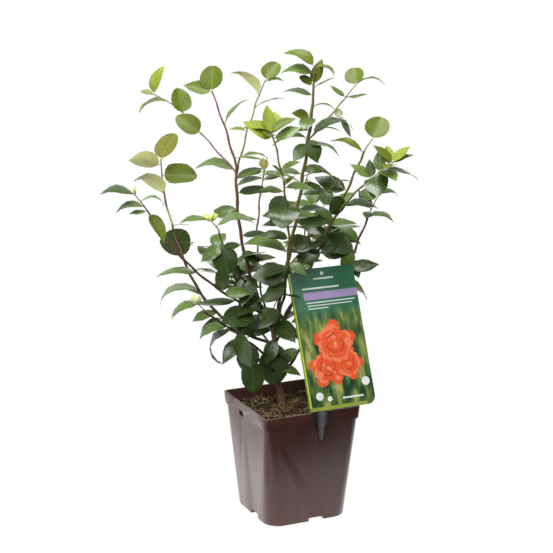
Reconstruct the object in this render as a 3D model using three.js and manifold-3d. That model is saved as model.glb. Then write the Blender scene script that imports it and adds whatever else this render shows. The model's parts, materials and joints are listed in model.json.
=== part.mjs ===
// Camellia shrub in its square nursery pot.
//
// Millimetres, +Z up. The origin is under the middle of the pot, on the surface it stands on.
// The pot's sides face the X and Y axes, and the plant label stands over its front (-Y) rim.
// The plant is a short trunk, boughs that fan out of it, and uneven masses of foliage.
import * as THREE from "three";
import { mergeVertices } from "three/addons/utils/BufferGeometryUtils.js";
import Module from "manifold-3d";

const wasm = await Module();
wasm.setup();

// Driving dimensions
const GAP = 0.3; // clearance kept between solids that touch
const POT_HEIGHT = 200;
const BASE_HALF = 75; // half the pot's width at the foot
const WALL_TOP_HALF = 88; // half the wall's width at the rim
const RIM_HALF = 90; // half the width over the skirt that stands proud of the rim
const SKIRT_HEIGHT = 21;
const SKIRT_FOOT_HALF = 88.6;
const SIDE_GAP = { foot: 146, top: 86 }; // where the skirt is left off the two sides
const WALL = 2;
const FOOT_CORNER = 28; // the corners are round at the foot and nearly square at the rim
const RIM_CORNER = 8;
const SOIL_TOP = 182;
const DRAIN = { width: 28, height: 8, depth: 12, along: 13 }; // a notch under each side
const SLOT = { width: 17, height: 9, along: 17, middle: 179 }; // for a carrying handle
const LABEL = {
  width: 125, length: 242, thick: 1.2, corner: 15, topCorner: 7, lean: 23,
  left: -8, foot: -92, bottom: 203,
};
const CLIP = { width: 27, drop: 22, tongue: 48, thick: 3, leg: 12, tab: 22, tabThick: 1.6 };
const TRUNK = { x: -12, y: 5, rise: 143, reach: 17, heading: 144, bow: 4, thick: [11, 8], flare: 4 };
const CROWN_TURN = -25; // the crown's broad side runs along this heading, in degrees
const LIMB_SIDES = 6;
const LIMB_STEP = 45; // length of limb between two of its rings
const UNEVEN = 0.11; // how far each wave pushes a mass of leaves out of an ellipsoid

// Solids ------------------------------------------------------------------------------------

// A closed geometry with only places and triangles, made into a solid that can be cut.
function solidOf(geometry) {
  const index = geometry.index.array;
  const places = geometry.attributes.position.array;
  const mesh = new wasm.Mesh({ numProp: 3, vertProperties: places, triVerts: Uint32Array.from(index) });
  return new wasm.Manifold(mesh);
}

function geometryOf(solid) {
  const mesh = solid.getMesh();
  const geometry = new THREE.BufferGeometry();
  geometry.setAttribute("position", new THREE.BufferAttribute(mesh.vertProperties, 3));
  geometry.setIndex(new THREE.BufferAttribute(mesh.triVerts, 1));
  geometry.computeVertexNormals();
  return geometry;
}

// One of three.js's own shapes, with its shared corners merged and its place applied.
function shapeSolid(geometry, place = new THREE.Matrix4()) {
  geometry.deleteAttribute("normal");
  geometry.deleteAttribute("uv");
  return solidOf(mergeVertices(geometry.applyMatrix4(place)));
}

function largestPiece(solid) {
  return solid.decompose().reduce((best, piece) => (piece.volume() > best.volume() ? piece : best));
}

// Skins a stack of rings that all have the same number of points, and closes both ends.
function loftSolid(rings) {
  const count = rings[0].length;
  const places = rings.flat().flatMap((point) => [point.x, point.y, point.z]);
  const faces = [];
  for (let ring = 0; ring + 1 < rings.length; ring += 1) {
    for (let i = 0; i < count; i += 1) {
      const a = ring * count + i;
      const b = ring * count + ((i + 1) % count);
      faces.push(a, b, b + count, a, b + count, a + count);
    }
  }
  const last = (rings.length - 1) * count;
  for (let i = 1; i + 1 < count; i += 1) {
    faces.push(0, i + 1, i);
    faces.push(last, last + i, last + i + 1);
  }
  const geometry = new THREE.BufferGeometry();
  geometry.setAttribute("position", new THREE.Float32BufferAttribute(places, 3));
  geometry.setIndex(faces);
  return solidOf(geometry);
}

// Pot ---------------------------------------------------------------------------------------

const CORNER_STEPS = 5;
const lerp = THREE.MathUtils.lerp;

function squareRing(half, corner, height) {
  const ring = [];
  for (let quarter = 0; quarter < 4; quarter += 1) {
    for (let step = 0; step <= CORNER_STEPS; step += 1) {
      const turn = (quarter + step / CORNER_STEPS) * (Math.PI / 2);
      const centre = (quarter + 0.5) * (Math.PI / 2);
      const inset = (half - corner) * Math.SQRT2;
      const x = Math.cos(centre) * inset + Math.cos(turn) * corner;
      const y = Math.sin(centre) * inset + Math.sin(turn) * corner;
      ring.push(new THREE.Vector3(x, y, height));
    }
  }
  return ring;
}

const wallHalf = (height) => lerp(BASE_HALF, WALL_TOP_HALF, height / POT_HEIGHT);
const wallCorner = (height) => lerp(FOOT_CORNER, RIM_CORNER, height / POT_HEIGHT);

function wallRing(height, inset = 0) {
  return squareRing(wallHalf(height) - inset, wallCorner(height) - inset, height);
}

// The skirt goes round the front, the back and the corners; on the two sides it is cut away.
function skirtSolid() {
  const foot = POT_HEIGHT - SKIRT_HEIGHT;
  const outside = loftSolid([
    squareRing(SKIRT_FOOT_HALF, RIM_CORNER, foot),
    squareRing(RIM_HALF, RIM_CORNER, POT_HEIGHT),
  ]);
  const window = new THREE.Shape();
  window.moveTo(-SIDE_GAP.foot / 2, -SKIRT_HEIGHT - 1);
  window.lineTo(SIDE_GAP.foot / 2, -SKIRT_HEIGHT - 1);
  window.lineTo(SIDE_GAP.top / 2, 1);
  window.lineTo(-SIDE_GAP.top / 2, 1);
  const through = new THREE.ExtrudeGeometry(window, { depth: 2 * RIM_HALF + 4, bevelEnabled: false });
  const place = new THREE.Matrix4().makeTranslation(-RIM_HALF - 2, 0, POT_HEIGHT);
  place.multiply(new THREE.Matrix4().makeRotationZ(Math.PI / 2));
  place.multiply(new THREE.Matrix4().makeRotationX(Math.PI / 2));
  return outside.subtract(shapeSolid(through, place));
}

function boxSolid(sizeX, sizeY, sizeZ, x, y, z) {
  return shapeSolid(new THREE.BoxGeometry(sizeX, sizeY, sizeZ), new THREE.Matrix4().makeTranslation(x, y, z));
}

// The four drain notches, each a quarter turn on from the last; grow thickens them all round.
function notchSolids(grow = 0) {
  return [0, 1, 2, 3].map((quarter) => {
    const depth = 2 * (DRAIN.depth + grow);
    const box = new THREE.BoxGeometry(DRAIN.width + 2 * grow, depth, 2 * (DRAIN.height + grow));
    box.translate(DRAIN.along, -BASE_HALF, 0);
    return shapeSolid(box, new THREE.Matrix4().makeRotationZ((quarter * Math.PI) / 2));
  });
}

// What fills the pot: its inner walls and floor, less the roofs of the drain notches.
function fillSolid(inset, top) {
  const fill = loftSolid([wallRing(inset, inset), wallRing(top, inset)]);
  return notchSolids(inset).reduce((rest, notch) => rest.subtract(notch), fill);
}

function potSolid() {
  const shell = loftSolid([wallRing(0), wallRing(POT_HEIGHT)]);
  let pot = shell.add(skirtSolid()).subtract(fillSolid(WALL, POT_HEIGHT + 4));
  for (const notch of notchSolids()) pot = pot.subtract(notch);
  for (const side of [-1, 1]) {
    const across = side * WALL_TOP_HALF;
    const slot = boxSolid(12, SLOT.width, SLOT.height, across, -side * SLOT.along, SLOT.middle);
    pot = pot.subtract(slot);
  }
  return pot;
}

const soilSolid = () => fillSolid(WALL + GAP, SOIL_TOP);

// Label and its clip ------------------------------------------------------------------------

// The label leans back over the pot: its own X is across it, its Y up it, its Z out of its face.
function labelPlace() {
  const place = new THREE.Matrix4().makeTranslation(LABEL.left, LABEL.foot, LABEL.bottom);
  return place.multiply(new THREE.Matrix4().makeRotationX(THREE.MathUtils.degToRad(90 - LABEL.lean)));
}

function labelSolid(grow = 0) {
  const shape = new THREE.Shape();
  const { width, length, corner, topCorner } = LABEL;
  shape.moveTo(-grow, -grow);
  shape.lineTo(width - corner, -grow);
  shape.absarc(width - corner, corner, corner + grow, -Math.PI / 2, 0, false);
  shape.absarc(width - topCorner, length - topCorner, topCorner + grow, 0, Math.PI / 2, false);
  shape.lineTo(-grow, length + grow);
  const depth = LABEL.thick + 2 * grow;
  const card = new THREE.ExtrudeGeometry(shape, { depth, bevelEnabled: false, curveSegments: 5 });
  return shapeSolid(card.translate(0, 0, -grow), labelPlace());
}

// A spring clip over the rim: a tapered plate outside, a leg inside, and a tab up the label's back.
function clipSolid() {
  const { width, drop, tongue, thick } = CLIP;
  const top = POT_HEIGHT + GAP;
  const outside = -(RIM_HALF + GAP);
  const plate = new THREE.Shape();
  plate.moveTo(0, thick);
  plate.lineTo(0, -drop);
  plate.lineTo(width * 0.28, -drop);
  plate.lineTo(width * 0.42, -tongue);
  plate.lineTo(width * 0.58, -tongue);
  plate.lineTo(width * 0.72, -drop);
  plate.lineTo(width, -drop);
  plate.lineTo(width, thick);
  const front = new THREE.ExtrudeGeometry(plate, { depth: thick, bevelEnabled: false });
  const place = new THREE.Matrix4().makeTranslation(0, outside, top - 0.8);
  let clip = shapeSolid(front, place.multiply(new THREE.Matrix4().makeRotationX(Math.PI / 2)));
  const inner = -(wallHalf(POT_HEIGHT - CLIP.leg) - WALL) + GAP;
  const span = inner - outside + 2;
  clip = clip.add(boxSolid(width, span + 1, 2.2, width / 2, outside + span / 2 - 0.5, top + 1.1));
  clip = clip.add(boxSolid(width, 2, CLIP.leg, width / 2, inner + 1, top - CLIP.leg / 2 + 1));
  const tab = new THREE.BoxGeometry(width - 5, CLIP.tab, CLIP.tabThick);
  tab.translate(width / 2 - LABEL.left, CLIP.tab / 2 - 3, -GAP - CLIP.tabThick / 2);
  return clip.add(shapeSolid(tab, labelPlace())).subtract(labelSolid(GAP));
}

// Limbs -------------------------------------------------------------------------------------

// Each limb leaves its parent at a share of its length, and ends `rise` above and `reach` away
// from there on its heading (degrees, turning left from +X). `bow` sags its middle outwards and
// `sway` moves it to the left of its heading. thick is its diameter at its foot and at its tip.
const boughName = (name) => (name === "trunk" ? name : `bough_${name}`);
const limb = (name, on, at, sizes) => ({ name: boughName(name), on: boughName(on), at, ...sizes });

const LIMBS = [
  limb("left_rear_foot", "trunk", 0.8, { rise: 130, reach: 165, heading: 135, bow: 30, thick: [5.5, 4.5] }),
  limb("left_rear", "left_rear_foot", 1, { rise: 125, reach: 55, heading: 110, bow: 5, thick: [4.4, 3] }),
  limb("left_tall_foot", "trunk", 0.93, { rise: 285, reach: 65, heading: 140, bow: 20, thick: [6.5, 4.8] }),
  limb("left_tall", "left_tall_foot", 1, { rise: 125, reach: 45, heading: 130, bow: -5, thick: [4.6, 3] }),
  limb("left_tall_side", "left_tall_foot", 0.97, { rise: 95, reach: 130, heading: 115, thick: [3.4, 2.6] }),
  limb("left_tall_inner", "left_tall_foot", 0.95, {
    rise: 135, reach: 70, heading: 30, bow: -5, thick: [3.6, 2.6],
  }),
  limb("far_left", "left_tall_foot", 0.12, {
    rise: 200, reach: 215, heading: 185, bow: 20, sway: -10, thick: [4.4, 3],
  }),
  limb("left_bud", "left_tall_foot", 0.3, { rise: 110, reach: 80, heading: 200, bow: 15, thick: [3.4, 2.6] }),
  limb("back_thin", "trunk", 0.86, {
    rise: 245, reach: 125, heading: 75, bow: 20, sway: 15, thick: [4, 2.6],
  }),
  limb("leader", "trunk", 1, { rise: 385, reach: 65, heading: 340, bow: 5, thick: [7, 4.4] }),
  limb("front_lime", "trunk", 0.95, {
    rise: 350, reach: 105, heading: 245, bow: 15, sway: 25, thick: [5.5, 3.2],
  }),
  limb("leader_side", "leader", 0.84, { rise: 60, reach: 100, heading: 25, thick: [3, 2.4] }),
  limb("right_main", "trunk", 0.88, {
    rise: 325, reach: 150, heading: 330, bow: 5, sway: 35, thick: [6, 3.4],
  }),
  limb("right_fork", "right_main", 0.62, { rise: 85, reach: 95, heading: 285, bow: -5, thick: [3.6, 3] }),
  limb("right_low", "trunk", 0.35, { rise: 270, reach: 180, heading: 5, bow: 15, thick: [5, 3.4] }),
  limb("low_left", "trunk", 0.55, { rise: 120, reach: 155, heading: 195, bow: -5, sway: -5, thick: [4, 3] }),
  limb("low_front", "trunk", 0.43, { rise: 45, reach: 65, heading: 215, thick: [4, 3] }),
  limb("back_left", "trunk", 0.72, { rise: 90, reach: 125, heading: 95, bow: 5, sway: 5, thick: [4, 3] }),
  limb("back_right", "trunk", 0.78, { rise: 140, reach: 125, heading: 35, bow: 5, thick: [4.4, 3.2] }),
  limb("back_low", "trunk", 0.6, { rise: 35, reach: 95, heading: 70, thick: [3.6, 3] }),
];

function limbCurve(start, { rise, reach, heading, bow = 0, sway = 0 }) {
  const turn = THREE.MathUtils.degToRad(heading);
  const out = new THREE.Vector3(Math.cos(turn), Math.sin(turn), 0);
  const left = new THREE.Vector3(-out.y, out.x, 0);
  const end = start.clone().addScaledVector(out, reach);
  end.z += rise;
  const under = out.clone().multiplyScalar(rise);
  under.z -= reach;
  const middle = start.clone().lerp(end, 0.5);
  middle.addScaledVector(under.normalize(), 2 * bow).addScaledVector(left, 2 * sway);
  return new THREE.QuadraticBezierCurve3(start, middle, end);
}

// A round, tapering limb, with rings square to its curve.
function limbSolid(curve, spec, grow = 0) {
  const steps = Math.max(3, Math.round(curve.getLength() / LIMB_STEP));
  const frames = curve.computeFrenetFrames(steps);
  const rings = [];
  for (let step = 0; step <= steps; step += 1) {
    const radius = lerp(...spec.thick, step / steps) / 2 + grow;
    const centre = curve.getPointAt(step / steps);
    const ring = [];
    for (let side = 0; side < LIMB_SIDES; side += 1) {
      const turn = (side / LIMB_SIDES) * 2 * Math.PI;
      const point = centre.clone().addScaledVector(frames.normals[step], radius * Math.cos(turn));
      ring.push(point.addScaledVector(frames.binormals[step], radius * Math.sin(turn)));
    }
    rings.push(ring);
  }
  return loftSolid(rings);
}

// The trunk's rings are level, so that its foot is a flat cut on the peat, and its foot flares
// into ridges where the main roots leave it.
function trunkSolid(curve, grow = 0) {
  const sides = 12;
  const heights = [0, 0.02, 0.05, 0.1, 0.18, 0.35, 0.6, 0.8, 1];
  const rings = heights.map((share) => {
    const centre = curve.getPoint(share);
    const flare = TRUNK.flare * Math.exp(-share * 22);
    const ring = [];
    for (let side = 0; side < sides; side += 1) {
      const turn = (side / sides) * 2 * Math.PI;
      const ridge = flare * (1 + 0.45 * Math.cos(4 * turn + 0.6));
      const radius = lerp(...TRUNK.thick, share) / 2 + ridge + grow;
      ring.push(new THREE.Vector3(Math.cos(turn) * radius, Math.sin(turn) * radius, 0).add(centre));
    }
    return ring;
  });
  return loftSolid(rings);
}

// Masses of foliage -------------------------------------------------------------------------

// Each mass grows on a limb, at a share of its length; a mass at 1 closes the limb's end, and any
// other is open round the limbs that run through it. shift moves it off the limb, and wide, deep
// and tall are its size along, across and above the crown's broad side.
const mass = (name, on, at, shift, sizes) => ({
  name: `leaves_${name}`,
  on: boughName(on),
  at,
  shift: new THREE.Vector3(...shift),
  ...sizes,
});

const MASSES = [
  mass("left_rear", "left_rear", 1, [0, 0, 45], { wide: 120, deep: 90, tall: 105 }),
  mass("far_left", "far_left", 1, [-25, 5, 15], { wide: 95, deep: 90, tall: 55 }),
  mass("left_middle", "far_left", 0.72, [-5, 15, 15], { wide: 75, deep: 70, tall: 65 }),
  mass("left_bud", "left_bud", 1, [-15, 5, 15], { wide: 95, deep: 80, tall: 45 }),
  mass("left_inner", "left_bud", 0.35, [-20, -5, 25], { wide: 65, deep: 80, tall: 55 }),
  mass("left_tall", "left_tall", 1, [-10, 5, 20], { wide: 60, deep: 70, tall: 50 }),
  mass("left_tall_side", "left_tall_side", 1, [-30, 20, 35], { wide: 95, deep: 80, tall: 90 }),
  mass("left_tall_low", "left_tall_side", 0.7, [-10, 5, 10], { wide: 50, deep: 50, tall: 40 }),
  mass("left_tall_inner", "left_tall_inner", 1, [5, 0, 25], { wide: 85, deep: 70, tall: 60 }),
  mass("front_lime", "front_lime", 1, [-5, 5, 25], { wide: 70, deep: 80, tall: 60 }),
  mass("leader", "leader", 1, [-5, 5, 40], { wide: 100, deep: 80, tall: 85 }),
  mass("leader_middle", "leader", 0.85, [15, 5, 20], { wide: 115, deep: 90, tall: 60 }),
  mass("leader_side", "leader_side", 1, [25, 0, 15], { wide: 95, deep: 70, tall: 55 }),
  mass("right_main", "right_main", 1, [0, -5, 30], { wide: 90, deep: 70, tall: 65 }),
  mass("right_fork", "right_fork", 1, [15, -25, 30], { wide: 115, deep: 90, tall: 65 }),
  mass("right_low", "right_low", 1, [10, -10, 25], { wide: 65, deep: 70, tall: 75 }),
  mass("right_side", "right_low", 0.67, [25, -10, -10], { wide: 55, deep: 70, tall: 85 }),
  mass("back_thin", "back_thin", 1, [0, 5, 30], { wide: 100, deep: 90, tall: 80 }),
  mass("high_middle", "leader", 0.68, [10, 10, 5], { wide: 105, deep: 100, tall: 80 }),
  mass("front_middle", "front_lime", 0.45, [0, 0, 40], { wide: 100, deep: 80, tall: 105 }),
  mass("right_middle", "right_main", 0.5, [20, -5, 35], { wide: 90, deep: 90, tall: 110 }),
  mass("left_core", "left_tall_foot", 0.4, [10, 10, 10], { wide: 80, deep: 90, tall: 115 }),
  mass("middle_core", "leader", 0.2, [-5, -25, -5], { wide: 110, deep: 75, tall: 95 }),
  mass("low_left", "low_left", 1, [-15, 25, 20], { wide: 100, deep: 80, tall: 80 }),
  mass("low_left_hanging", "low_left", 0.7, [-20, -10, -5], { wide: 65, deep: 80, tall: 90 }),
  mass("low_front", "low_front", 1, [-15, -25, -10], { wide: 100, deep: 80, tall: 90 }),
  mass("low_core", "trunk", 0.9, [-10, -30, 10], { wide: 100, deep: 55, tall: 75 }),
  mass("low_right", "right_low", 0.4, [20, 35, -15], { wide: 120, deep: 90, tall: 120 }),
  mass("back_left", "back_left", 1, [5, 35, 35], { wide: 115, deep: 100, tall: 120 }),
  mass("back_right", "back_right", 1, [25, 15, 45], { wide: 120, deep: 100, tall: 130 }),
  mass("back_low", "back_low", 1, [25, 35, 0], { wide: 130, deep: 100, tall: 105 }),
];
const FINE_MASS = 260; // masses whose three sizes add up to more than this get smaller facets

// An ellipsoid pushed in and out by three waves, each mass by waves of its own.
function massSolid(spec, centre, seed, grow = 0) {
  const fine = spec.wide + spec.deep + spec.tall > FINE_MASS;
  const ball = new THREE.IcosahedronGeometry(1, fine ? 2 : 1);
  const places = ball.attributes.position;
  const point = new THREE.Vector3();
  for (let i = 0; i < places.count; i += 1) {
    point.fromBufferAttribute(places, i);
    const waves =
      Math.sin(3.6 * point.x + 2.1 * seed) +
      Math.sin(3.3 * point.y + 2.4 * point.z + 1.7 * seed) +
      Math.sin(4.1 * point.z - 2.2 * point.x + 2.9 * seed);
    point.multiplyScalar(1 + UNEVEN * waves);
    places.setXYZ(i, point.x, point.y, point.z);
  }
  const place = new THREE.Matrix4().makeTranslation(centre);
  place.multiply(new THREE.Matrix4().makeRotationZ(THREE.MathUtils.degToRad(CROWN_TURN)));
  const half = (size) => size / 2 + grow;
  place.multiply(new THREE.Matrix4().makeScale(half(spec.wide), half(spec.deep), half(spec.tall)));
  return shapeSolid(ball, place);
}

// Assembly ----------------------------------------------------------------------------------

const group = new THREE.Group();

function addNode(name, solid, color, roughness, metalness = 0) {
  const material = new THREE.MeshStandardMaterial({ color, roughness, metalness });
  const mesh = new THREE.Mesh(geometryOf(solid), material);
  mesh.name = name;
  group.add(mesh);
}

addNode("pot", potSolid(), "#5c4340", 0.4);
addNode("soil", soilSolid(), "#3a2c22", 0.95);
addNode("label", labelSolid(), "#2d6a4b", 0.35);
addNode("label_clip", clipSolid(), "#2c2c2e", 0.5);

const trunkStart = new THREE.Vector3(TRUNK.x, TRUNK.y, SOIL_TOP + GAP);
const curves = { trunk: limbCurve(trunkStart, TRUNK) };
const grown = { trunk: trunkSolid(curves.trunk, GAP) };
addNode("trunk", trunkSolid(curves.trunk), "#6e4f3f", 0.8);

for (const spec of LIMBS) {
  curves[spec.name] = limbCurve(curves[spec.on].getPointAt(spec.at), spec);
  grown[spec.name] = limbSolid(curves[spec.name], spec, GAP);
}

const centres = MASSES.map((spec) => curves[spec.on].getPointAt(spec.at).add(spec.shift));
const grownMasses = MASSES.map((spec, index) => massSolid(spec, centres[index], index, GAP));

// A limb is seated on its parent and on the limbs before it, and stops at the mass on its end.
LIMBS.forEach((spec, index) => {
  let solid = limbSolid(curves[spec.name], spec).subtract(grown.trunk);
  for (const earlier of LIMBS.slice(0, index)) solid = solid.subtract(grown[earlier.name]);
  const end = MASSES.findIndex((leaves) => leaves.on === spec.name && leaves.at === 1);
  if (end >= 0) solid = solid.subtract(grownMasses[end]);
  addNode(spec.name, largestPiece(solid), "#6b3f2c", 0.7);
});

// A mass is cut round the limbs, the label and the masses before it.
const keepClear = [grown.trunk, labelSolid(GAP)];
MASSES.forEach((spec, index) => {
  let solid = massSolid(spec, centres[index], index);
  for (const { name } of LIMBS) {
    const endsHere = spec.on === name && spec.at === 1;
    if (!endsHere) solid = solid.subtract(grown[name]);
  }
  for (const other of keepClear) solid = solid.subtract(other);
  keepClear.push(grownMasses[index]);
  addNode(spec.name, largestPiece(solid), "#4f7a2e", 0.6);
});

export default group;
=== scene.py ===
import json
import math

import bpy
import numpy as np
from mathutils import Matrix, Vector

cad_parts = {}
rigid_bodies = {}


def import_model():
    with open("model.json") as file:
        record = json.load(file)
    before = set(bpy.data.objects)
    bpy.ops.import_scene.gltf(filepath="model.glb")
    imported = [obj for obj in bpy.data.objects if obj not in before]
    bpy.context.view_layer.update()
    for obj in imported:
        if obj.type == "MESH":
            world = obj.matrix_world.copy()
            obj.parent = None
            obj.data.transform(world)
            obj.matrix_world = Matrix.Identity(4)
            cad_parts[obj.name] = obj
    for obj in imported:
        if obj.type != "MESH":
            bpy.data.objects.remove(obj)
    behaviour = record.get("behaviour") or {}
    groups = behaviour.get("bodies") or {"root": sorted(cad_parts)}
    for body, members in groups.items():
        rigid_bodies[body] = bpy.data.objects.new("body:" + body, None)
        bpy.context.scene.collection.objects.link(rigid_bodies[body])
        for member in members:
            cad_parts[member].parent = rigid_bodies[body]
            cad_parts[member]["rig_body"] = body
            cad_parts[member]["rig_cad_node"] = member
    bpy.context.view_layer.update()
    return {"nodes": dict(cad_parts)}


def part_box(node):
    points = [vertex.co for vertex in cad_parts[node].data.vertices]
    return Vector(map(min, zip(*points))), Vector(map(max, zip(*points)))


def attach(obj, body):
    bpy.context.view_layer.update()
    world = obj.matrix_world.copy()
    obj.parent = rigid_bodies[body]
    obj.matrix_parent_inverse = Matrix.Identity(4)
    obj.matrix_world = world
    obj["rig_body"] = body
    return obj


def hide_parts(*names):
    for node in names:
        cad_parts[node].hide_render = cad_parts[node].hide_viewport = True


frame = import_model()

# White table and soft light -------------------------------------------------------------
# The shrub stands on a white table in a white studio, under large soft lamps. The room is dark
# the way that the pot's front wall mirrors it, above the mirrored near edge of the table.


def add_node(tree, kind, sockets=None, **settings):
    """Adds a shader node; a socket is given a value, or another node's output to link."""
    made = tree.nodes.new("ShaderNode" + kind)
    for name, value in settings.items():
        setattr(made, name, value)
    for name, value in (sockets or {}).items():
        if isinstance(value, bpy.types.NodeSocket):
            tree.links.new(value, made.inputs[name])
        else:
            made.inputs[name].default_value = value
    return made


ROOM_DARK = (0.42, -0.9, 0.0)  # the direction that the pot's front wall mirrors
TABLE_RADIUS = 0.6
TABLE_FRONT = (-0.2, -0.14)  # the table fades into the dark between these
TABLE_LEFT = (-0.153, -0.146)  # and is dimmer to the left of these
VIEW_TARGET = (-0.0229, 0.0105, 0.4164)
VIEW_AZIMUTH = math.radians(-24.7)
VIEW_RISE = math.radians(14)
VIEW_DISTANCE = 2.714

bpy.context.scene.view_settings.view_transform = "Standard"
bpy.ops.object.select_all(action="DESELECT")

# The camera sees the table plain white; its light and its mirror image in the pot fade towards
# the front and the left.
table_top = bpy.data.materials.new("white_table")
table_top.use_nodes = True
tree = table_top.node_tree
tree.nodes.clear()
place = add_node(tree, "TexCoord")
spot = add_node(tree, "SeparateXYZ", {0: place.outputs["Object"]})
near = add_node(tree, "MapRange", {"Value": spot.outputs["Y"], "From Min": TABLE_FRONT[0],
                                   "From Max": TABLE_FRONT[1], "To Min": 0.03},
                interpolation_type="SMOOTHSTEP")
depth = add_node(tree, "MapRange", {"Value": spot.outputs["Y"], "From Min": -0.1,
                                    "From Max": 0.1, "To Min": 1.15, "To Max": 1.45})
left = add_node(tree, "MapRange", {"Value": spot.outputs["X"], "From Min": TABLE_LEFT[0],
                                   "From Max": TABLE_LEFT[1], "To Min": 0.68})
both = add_node(tree, "Math", {0: near.outputs[0], 1: depth.outputs[0]}, operation="MULTIPLY")
level = add_node(tree, "Math", {0: both.outputs[0], 1: left.outputs[0]}, operation="MULTIPLY")
glow = add_node(tree, "Emission", {"Color": (1, 1, 1, 1), "Strength": level.outputs[0]})
white = add_node(tree, "Emission", {"Color": (1, 1, 1, 1), "Strength": 1.0})
seen = add_node(tree, "LightPath")
either = add_node(tree, "MixShader", {0: seen.outputs["Is Camera Ray"], 1: glow.outputs[0],
                                      2: white.outputs[0]})
add_node(tree, "OutputMaterial", {"Surface": either.outputs[0]})
bpy.ops.mesh.primitive_circle_add(vertices=96, radius=TABLE_RADIUS, fill_type="NGON",
                                  location=(0, 0, -0.0005))
table = bpy.context.object
table.name = "table"
table.data.materials.append(table_top)

studio = bpy.data.worlds.new("studio")
bpy.context.scene.world = studio
studio.use_nodes = True
tree = studio.node_tree
tree.nodes.clear()
towards = add_node(tree, "TexCoord")
front = add_node(tree, "VectorMath", {0: towards.outputs["Generated"], 1: ROOM_DARK},
                 operation="DOT_PRODUCT")
dark = add_node(tree, "MapRange", {"Value": front.outputs["Value"], "From Min": -0.25,
                                   "From Max": 0.75, "To Min": 1.0, "To Max": 0.03})
height = add_node(tree, "SeparateXYZ", {0: towards.outputs["Generated"]})
ceiling = add_node(tree, "MapRange", {"Value": height.outputs["Z"], "From Min": 0.2,
                                      "From Max": 0.6, "To Min": 1.0, "To Max": 0.3})
level = add_node(tree, "Math", {0: dark.outputs["Result"], 1: ceiling.outputs[0]},
                 operation="MULTIPLY")
room = add_node(tree, "Background", {"Color": (1, 1, 1, 1), "Strength": level.outputs[0]})
white = add_node(tree, "Background", {"Color": (1, 1, 1, 1), "Strength": 1.0})
seen = add_node(tree, "LightPath")
either = add_node(tree, "MixShader", {0: seen.outputs["Is Camera Ray"], 1: room.outputs[0],
                                      2: white.outputs[0]})
add_node(tree, "OutputWorld", {"Surface": either.outputs[0]})

for name, size, watts, place, turn in (
    ("lamp_left", 1.1, 26, (-1.5, -0.9, 1.5), (50, 0, -59)),
    ("lamp_top", 1.1, 44, (-0.1, 0.0, 2.1), (0, 0, 0)),
    ("lamp_front", 1.9, 15, (0.1, -1.4, 2.0), (41, 0, 4)),
    ("lamp_right", 0.8, 3, (1.5, -0.5, 1.0), (62, 0, 72)),
):
    bpy.ops.object.light_add(type="AREA", location=place, rotation=[math.radians(t) for t in turn])
    lamp = bpy.context.object
    lamp.name = name
    lamp.data.size = size
    lamp.data.energy = watts
    lamp.visible_camera = False

level = math.cos(VIEW_RISE)
behind = (math.sin(VIEW_AZIMUTH) * level, -math.cos(VIEW_AZIMUTH) * level, math.sin(VIEW_RISE))
bpy.ops.object.camera_add(
    location=[t + VIEW_DISTANCE * b for t, b in zip(VIEW_TARGET, behind)],
    rotation=(math.pi / 2 - VIEW_RISE, 0, VIEW_AZIMUTH),
)
camera = bpy.context.object
camera.name = "camera"
camera.data.sensor_width = 36
camera.data.lens = 104.2
bpy.context.scene.camera = camera

# Pot ------------------------------------------------------------------------------------
# A square nursery pot, injection moulded in thin brown polypropylene, with round corners at
# the foot, a skirt round the rim and a hand slot in two of its sides.

MM = 0.001


def rgb(hex_colour):
    """An sRGB hex colour as linear red, green, blue and alpha."""
    parts = [int(hex_colour[i : i + 2], 16) / 255 for i in (1, 3, 5)]
    return [p / 12.92 if p <= 0.04045 else ((p + 0.055) / 1.055) ** 2.4 for p in parts] + [1.0]


def new_material(name, **sockets):
    """A material with its Principled shader, whose sockets are given as words joined by _."""
    made = bpy.data.materials.new(name)
    made.use_nodes = True
    shader = made.node_tree.nodes["Principled BSDF"]
    for socket, value in sockets.items():
        shader.inputs[socket.replace("_", " ")].default_value = value
    return made, made.node_tree, shader


def only(*objects):
    """Leaves just these objects selected, the first of them active."""
    bpy.ops.object.select_all(action="DESELECT")
    for o in objects:
        o.select_set(True)
    bpy.context.view_layer.objects.active = objects[0]


def copy_of(node, name):
    """The mesh of a CAD node as a piece of its own, its loose triangles joined up."""
    made = frame["nodes"][node].copy()
    made.data = made.data.copy()
    made.name = made.data.name = name
    made.parent = None
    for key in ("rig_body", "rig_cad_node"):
        if key in made:
            del made[key]
    made.data.materials.clear()
    bpy.context.scene.collection.objects.link(made)
    only(made)
    bpy.ops.object.mode_set(mode="EDIT")
    bpy.ops.mesh.select_all(action="SELECT")
    bpy.ops.mesh.remove_doubles(threshold=0.02 * MM)
    bpy.ops.mesh.dissolve_limited(angle_limit=math.radians(1.0))
    bpy.ops.object.mode_set(mode="OBJECT")
    return made


def apply_modifier(piece, kind, **settings):
    """Adds a modifier to the piece and applies it at once."""
    only(piece)
    made = piece.modifiers.new(kind.lower(), kind)
    for name, value in settings.items():
        setattr(made, name, value)
    bpy.ops.object.modifier_apply(modifier=made.name)


def smooth_under(piece, degrees):
    """Shades a piece smooth all over, apart from its edges sharper than this angle."""
    only(piece)
    bpy.ops.object.shade_smooth_by_angle(angle=math.radians(degrees))


def stands_for(piece, slot, *nodes):
    """The piece takes the place of these CAD nodes; slot is not used."""
    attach(piece, "root")
    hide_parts(*nodes)


pot = copy_of("pot", "pot_shell")
apply_modifier(pot, "BEVEL", width=0.55 * MM, segments=2, limit_method="ANGLE",
               angle_limit=math.radians(38))
smooth_under(pot, 40)

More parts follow.
